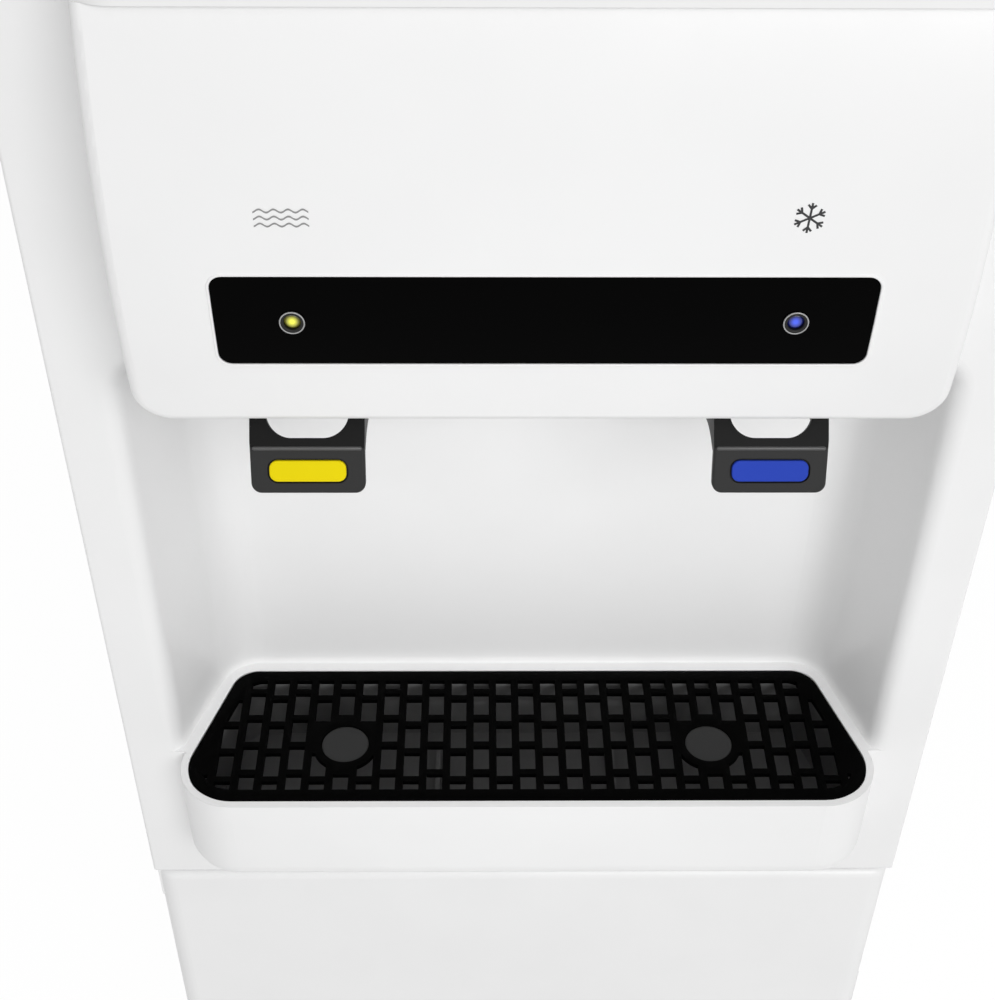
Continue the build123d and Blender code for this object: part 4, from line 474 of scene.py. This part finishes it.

# Levers: glass-filled nylon, nearly black. The fork passes round the spout and is smooth.
# Above the crease the fork is painted darker than the tab, a painted shade for the head's
# shadow that falls on it, and the tone changes over half a millimetre.
nylon = moulded("dark_grained_nylon_fork_shade", "1A1A1A", 0.4, 0.0006, 0.00002, 0.0004, 0.07)
crease_y, crease_z = front_face - 0.0276, ledge + 0.1704
tree = nylon.node_tree
skin = next(node for node in tree.nodes if node.type == "BSDF_PRINCIPLED")
place = add(tree, "ShaderNodeTexCoord")
height = add(tree, "ShaderNodeSeparateXYZ", {}, {"Vector": place.outputs["Object"]})
# painted shade: the lever turns darker above the crease, where the head's shadow falls
above = add(tree, "ShaderNodeMapRange", {"From Min": crease_z - 0.0002,
                                         "From Max": crease_z + 0.0003},
            {"Value": height.outputs["Z"]})
tone = add(tree, "ShaderNodeMix", {"data_type": "RGBA", 6: linear("333333"),
                                   7: linear("141414")}, {0: above.outputs[0]})
tree.links.new(tone.outputs[2], skin.inputs["Base Color"])
dress(nylon, "room_lever", "cold_lever")

# The crease of each lever is a moulded roll. Its rounding catches the light, and its paler
# colour is a painted highlight, so it shows as a thin pale line across the top of the tab.
crease_highlight = moulded("painted_highlight_nylon", "4A4A4A", 0.3, 0.0006, 0.00001, 0.0002, 0.4)
roll_radius, roll_length, roll_sunk, roll_drop = 0.0007, 0.0336, 0.0003, 0.0002
for name, body, x in (("room_lever_roll", "room_lever", -outlet),
                      ("cold_lever_roll", "cold_lever", outlet)):
    roll = fresh(bpy.ops.mesh.primitive_cylinder_add, name, vertices=24, radius=roll_radius,
                 depth=roll_length, location=(x, crease_y + roll_sunk, crease_z - roll_drop),
                 rotation=(0, pi / 2, 0))
    round_edges(roll, 0.0006, 4, 60)
    bpy.ops.object.shade_smooth()
    roll.data.materials.append(crease_highlight)
    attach(roll, body)

# Pads: coloured ABS pressed into the tabs, yellow for room and blue for cold. They are a
# little duller than the head, and show hardly any grain.
yellow = moulded("yellow_abs_insert", "E6D200", 0.4, 0.0006, 0.000005, 0.0003, 0.1)
dress(yellow, "room_lever_pad")
blue = moulded("blue_abs_insert", "2A44B0", 0.4, 0.0006, 0.000005, 0.0003, 0.06)
dress(blue, "cold_lever_pad")

# Springs, pins and tank: drawn stainless steel, with fine lines along the draw that leave
# its gloss uneven from line to line.
stainless, tree = blank("drawn_stainless_steel")
place = add(tree, "ShaderNodeTexCoord")
draw = add(tree, "ShaderNodeMapping", {"Scale": (900, 900, 20)},
           {"Vector": place.outputs["Object"]})
lines = add(tree, "ShaderNodeTexNoise", {"Scale": 1.0, "Detail": 2.0},
            {"Vector": draw.outputs[0]})
gloss = add(tree, "ShaderNodeMapRange", {"To Min": 0.2, "To Max": 0.36},
            {"Value": lines.outputs["Fac"]})
skin = add(tree, "ShaderNodeBsdfPrincipled", {"Base Color": linear("C9CACB"), "Metallic": 1.0},
           {"Roughness": gloss.outputs[0]})
add(tree, "ShaderNodeOutputMaterial", {}, {"Surface": skin.outputs[0]})
dress(stainless, "lever_pins", "lever_springs", "cold_tank")

# Drip grate: one flat moulding in black polypropylene with a matt spark finish, which lies
# loose in the ledge. Its open cells stand in columns, each a quarter row off its neighbour,
# and stay clear of the rim and of the solid ring round each disc's recess.
grate_pp = moulded("black_matt_polypropylene", "010101", 0.6, 0.0009, 0.00001, 0.0003, 0.02)
tray_front, tray_back = front_face - 0.024, front_face + 0.043
tray_middle = (tray_front + tray_back) / 2
half_front, half_back = 0.1365, 0.1160
front_corner, back_corner = 0.018, 0.010
flare = (half_front - half_back) / (tray_back - tray_front)
slant = sqrt(1 + flare ** 2)
grate_thick, grate_rim = 0.002, 0.0052


def tray_slab(name, inset, low, high):
    """The tray's plan, a trapezoid with round corners drawn in by inset, as a slab."""
    front, back = tray_front + inset, tray_back - inset
    wide = half_front - inset * (slant + flare)
    narrow = half_back - inset * (slant - flare)
    slab = fresh(bpy.ops.mesh.primitive_plane_add, name, (2 * wide, back - front, 1), size=1,
                 location=(0, tray_middle, low))
    for point in slab.data.vertices:
        if point.co.y > tray_middle:
            point.co.x *= narrow / wide
    corner = atan2(1, flare)
    for edge_y, angle, radius in ((front, corner, front_corner - inset),
                                  (back, pi - corner, back_corner - inset / 2)):
        bpy.ops.object.mode_set(mode="EDIT")
        bpy.ops.mesh.select_mode(type="VERT")
        bpy.ops.mesh.select_all(action="DESELECT")
        bpy.ops.object.mode_set(mode="OBJECT")
        for point in slab.data.vertices:
            point.select = abs(point.co.y - edge_y) < 0.0001
        bpy.ops.object.mode_set(mode="EDIT")
        bpy.ops.mesh.bevel(offset=radius / tan(angle / 2), segments=12, affect="VERTICES")
        bpy.ops.object.mode_set(mode="OBJECT")
    bpy.ops.object.mode_set(mode="EDIT")
    bpy.ops.mesh.select_all(action="SELECT")
    bpy.ops.mesh.extrude_region_move(TRANSFORM_OT_translate={"value": (0, 0, high - low)})
    bpy.ops.mesh.select_all(action="SELECT")
    bpy.ops.mesh.normals_make_consistent(inside=False)
    bpy.ops.object.mode_set(mode="OBJECT")
    return slab


grate = tray_slab("moulded_grate", 0, ledge - grate_thick, ledge)
cell_width, cell_length = 0.0060, 0.0115
column_pitch, row_pitch = 0.00897, 0.01405
even_shift, odd_shift = 0.0014, -0.0020        # the columns' rows, off the tray's middle
disc_y = front_face + 0.004
collar_radius, recess_radius = 0.0125, 0.00925
collar_reach = 0.012           # no cell has its middle nearer than this to a disc's middle
cell = fresh(bpy.ops.mesh.primitive_cube_add, "cell",
             (cell_width, cell_length, 3 * grate_thick), size=1)
cells = []
for column in range(-14, 15):
    x = column * column_pitch
    for row in range(-2, 3):
        y = tray_middle + (odd_shift if column % 2 else even_shift) + row * row_pitch
        beside = half_front - flare * (y - tray_front) - grate_rim
        if abs(x) <= beside and hypot(abs(x) - outlet, y - disc_y) >= collar_reach:
            cells.append(twin(cell, Matrix.Translation((x, y, ledge))))
bpy.data.objects.remove(cell)
cells = join(cells[::-1], "cells")
for x in (-outlet, outlet):
    carve(cells, fresh(bpy.ops.mesh.primitive_cylinder_add, "collar", vertices=64,
                       radius=collar_radius, depth=5 * grate_thick,
                       location=(x, disc_y, ledge)))
carve(cells, tray_slab("inner", grate_rim, ledge - 2 * grate_thick, ledge + 2 * grate_thick),
      "INTERSECT")
carve(grate, cells)
for x in (-outlet, outlet):
    carve(grate, fresh(bpy.ops.mesh.primitive_cylinder_add, "recess", vertices=64,
                       radius=recess_radius, depth=grate_thick,
                       location=(x, disc_y, ledge + 0.0001)))
round_edges(grate, 0.0004, 2, 50)
bpy.ops.object.select_all(action="DESELECT")
grate.select_set(True)
bpy.ops.object.shade_smooth_by_angle(angle=radians(30))
grate.data.materials.append(grate_pp)
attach(grate, "drip_grate")
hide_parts("drip_grate")

# Drip pan: polypropylene with a wet-blasted grey floor, which shows through the cells as
# the paler ground of the pattern.
pan_pp = moulded("grey_blasted_polypropylene", "6C6C6C", 0.6, 0.0009, 0.00003, 0.0004, 0.2)
dress(pan_pp, "drip_pan")

# Two grey discs in the grate mark where a cup stands. They are pressed into round recesses,
# a little dished, and their edge is rounded.
disc_pp = moulded("grey_matt_polypropylene", "323232", 0.55, 0.0009, 0.00002, 0.0003, 0.08)
disc_radius, disc_thick = 0.0091, 0.0006
disc_rim, disc_slope, rim_rise, dish_drop = 0.0012, 0.0035, 0.00015, 0.0001
for name, x in (("room_disc", -outlet), ("cold_disc", outlet)):
    disc = fresh(bpy.ops.mesh.primitive_cylinder_add, name, vertices=64, radius=disc_radius,
                 depth=disc_thick, location=(x, disc_y, ledge - disc_thick))
    bpy.ops.object.mode_set(mode="EDIT")
    bpy.ops.mesh.select_all(action="DESELECT")
    bpy.ops.object.mode_set(mode="OBJECT")
    for face in disc.data.polygons:
        face.select = face.normal.z > 0.9
    bpy.ops.object.mode_set(mode="EDIT")
    bpy.ops.mesh.inset(thickness=disc_rim)
    bpy.ops.transform.translate(value=(0, 0, rim_rise))
    bpy.ops.mesh.inset(thickness=disc_slope)
    bpy.ops.transform.translate(value=(0, 0, -dish_drop))
    bpy.ops.object.mode_set(mode="OBJECT")
    round_edges(disc, 0.0002, 2, 40)
    bpy.ops.object.shade_smooth_by_angle(angle=radians(40))
    disc.data.materials.append(disc_pp)
    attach(disc, "drip_grate")

# Small moulded parts: valves, switches, pump, clips, socket and switch housing in black
# polyamide, the drain's grey spigot, and the red rocker.
polyamide = moulded("black_polyamide", "1C1C1E", 0.45, 0.0008, 0.00002)
dress(polyamide, "water_valves", "lever_switches", "water_pump", "condenser_clips",
      "power_switch", "power_inlet")
grey_pa = moulded("grey_polyamide", "8B8D8F", 0.45, 0.0008, 0.00002)
dress(grey_pa, "drain_spigot")
red_pc = moulded("red_polycarbonate_rocker", "A31414", 0.25, 0.0008, 0.000004)
dress(red_pc, "power_rocker")

# The rocker's two ends are marked by hot stamping in white: a stroke for on above, and a
# ring for off below. Each lies on its own half of the bent face.
stamp = moulded("white_hot_stamp_foil", "ECECEA", 0.35, 0.0004, 0.000003, 0.0001)
rocker_x = -0.118
stroke_width, stroke_thick, stroke_length = 0.0008, 0.00012, 0.0038
stroke_mark = fresh(bpy.ops.mesh.primitive_cube_add, "mark_on",
                    (stroke_width, stroke_thick, stroke_length), size=1,
                    location=(rocker_x, 0.17617, 0.90866), rotation=(radians(-18.8), 0, 0))
ring_mark = fresh(bpy.ops.mesh.primitive_torus_add, "mark_off", major_radius=0.0017,
                  minor_radius=0.00028, major_segments=40, minor_segments=8,
                  location=(rocker_x, 0.17495, 0.9004), rotation=(radians(90 + 2.8), 0, 0))
for mark in (stroke_mark, ring_mark):
    mark.data.materials.append(stamp)
    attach(mark, "power_rocker")

# Feet, compressor mounts and gland: black rubber, tumbled after moulding, which rounds the
# edges and leaves a dusty matt skin.
rubber = moulded("black_tumbled_rubber", "1B1B1A", 0.75, 0.0012, 0.00005, 0.0005, 0.3)
dress(rubber, "feet", "compressor_mounts", "hose_gland")

# Water lines: silicone tube, milky and extruded smooth. It is drawn opaque, because it is
# seen only with a cover off.
silicone = moulded("translucent_silicone", "DCE2E4", 0.35, 0.002, 0.00001)
dress(silicone, "cold_line", "room_line")

# Compressor, condenser tube and wires: steel dipped in thick black paint, which runs and
# leaves soft ripples some 4 mm wide.
dip, tree = blank("black_dip_paint")
place = add(tree, "ShaderNodeTexCoord")
runs = add(tree, "ShaderNodeTexNoise", {"Scale": 260.0, "Detail": 2.0},
           {"Vector": place.outputs["Object"]})
bump = add(tree, "ShaderNodeBump", {"Strength": 0.5, "Distance": 0.00006},
           {"Height": runs.outputs["Fac"]})
gloss = add(tree, "ShaderNodeMapRange", {"To Min": 0.25, "To Max": 0.42},
            {"Value": runs.outputs["Fac"]})
skin = add(tree, "ShaderNodeBsdfPrincipled", {"Base Color": linear("141415"), "IOR": 1.5},
           {"Roughness": gloss.outputs[0], "Normal": bump.outputs[0]})
add(tree, "ShaderNodeOutputMaterial", {}, {"Surface": skin.outputs[0]})
dress(dip, "compressor", "condenser_coil", "condenser_wires")

# Evaporator and filter drier: drawn copper, dulled by handling, with brown stains about a
# centimetre across.
copper, tree = blank("drawn_copper")
place = add(tree, "ShaderNodeTexCoord")
stain = add(tree, "ShaderNodeTexNoise", {"Scale": 90.0, "Detail": 4.0},
            {"Vector": place.outputs["Object"]})
tone = add(tree, "ShaderNodeMix", {"data_type": "RGBA", 6: linear("C98A66"),
                                   7: linear("9A5A3C")}, {0: stain.outputs["Fac"]})
gloss = add(tree, "ShaderNodeMapRange", {"To Min": 0.2, "To Max": 0.45},
            {"Value": stain.outputs["Fac"]})
skin = add(tree, "ShaderNodeBsdfPrincipled", {"Metallic": 1.0},
           {"Base Color": tone.outputs[2], "Roughness": gloss.outputs[0]})
add(tree, "ShaderNodeOutputMaterial", {}, {"Surface": skin.outputs[0]})
dress(copper, "evaporator_coil", "filter_drier")

# Tank insulation: closed-cell foam, cut and glued, with open pores some 2 mm wide where
# the knife went through the cells.
foam, tree = blank("charcoal_foam")
place = add(tree, "ShaderNodeTexCoord")
pores = add(tree, "ShaderNodeTexVoronoi", {"Scale": 480.0}, {"Vector": place.outputs["Object"]})
bump = add(tree, "ShaderNodeBump", {"Strength": 0.8, "Distance": 0.0004},
           {"Height": pores.outputs["Distance"]})
tone = add(tree, "ShaderNodeMix", {"data_type": "RGBA", 6: linear("2B2C2E"),
                                   7: linear("4A4B4D")}, {0: pores.outputs["Distance"]})
skin = add(tree, "ShaderNodeBsdfPrincipled", {"Roughness": 0.9},
           {"Base Color": tone.outputs[2], "Normal": bump.outputs[0]})
add(tree, "ShaderNodeOutputMaterial", {}, {"Surface": skin.outputs[0]})
dress(foam, "tank_foam", "foam_lid")

# Control board: glass-fibre board under green solder mask. Its tracks show through as a
# paler network, drawn as the joints of a brick pattern.
board, tree = blank("green_solder_mask")
place = add(tree, "ShaderNodeTexCoord")
tracks = add(tree, "ShaderNodeTexBrick", {"Color1": linear("0E5A2C"),
                                          "Color2": linear("0C4F27"),
                                          "Mortar": linear("2F8A52"), "Scale": 110.0,
                                          "Mortar Size": 0.03},
             {"Vector": place.outputs["Object"]})
skin = add(tree, "ShaderNodeBsdfPrincipled", {"Roughness": 0.3},
           {"Base Color": tracks.outputs["Color"]})
add(tree, "ShaderNodeOutputMaterial", {}, {"Surface": skin.outputs[0]})
dress(board, "control_board")
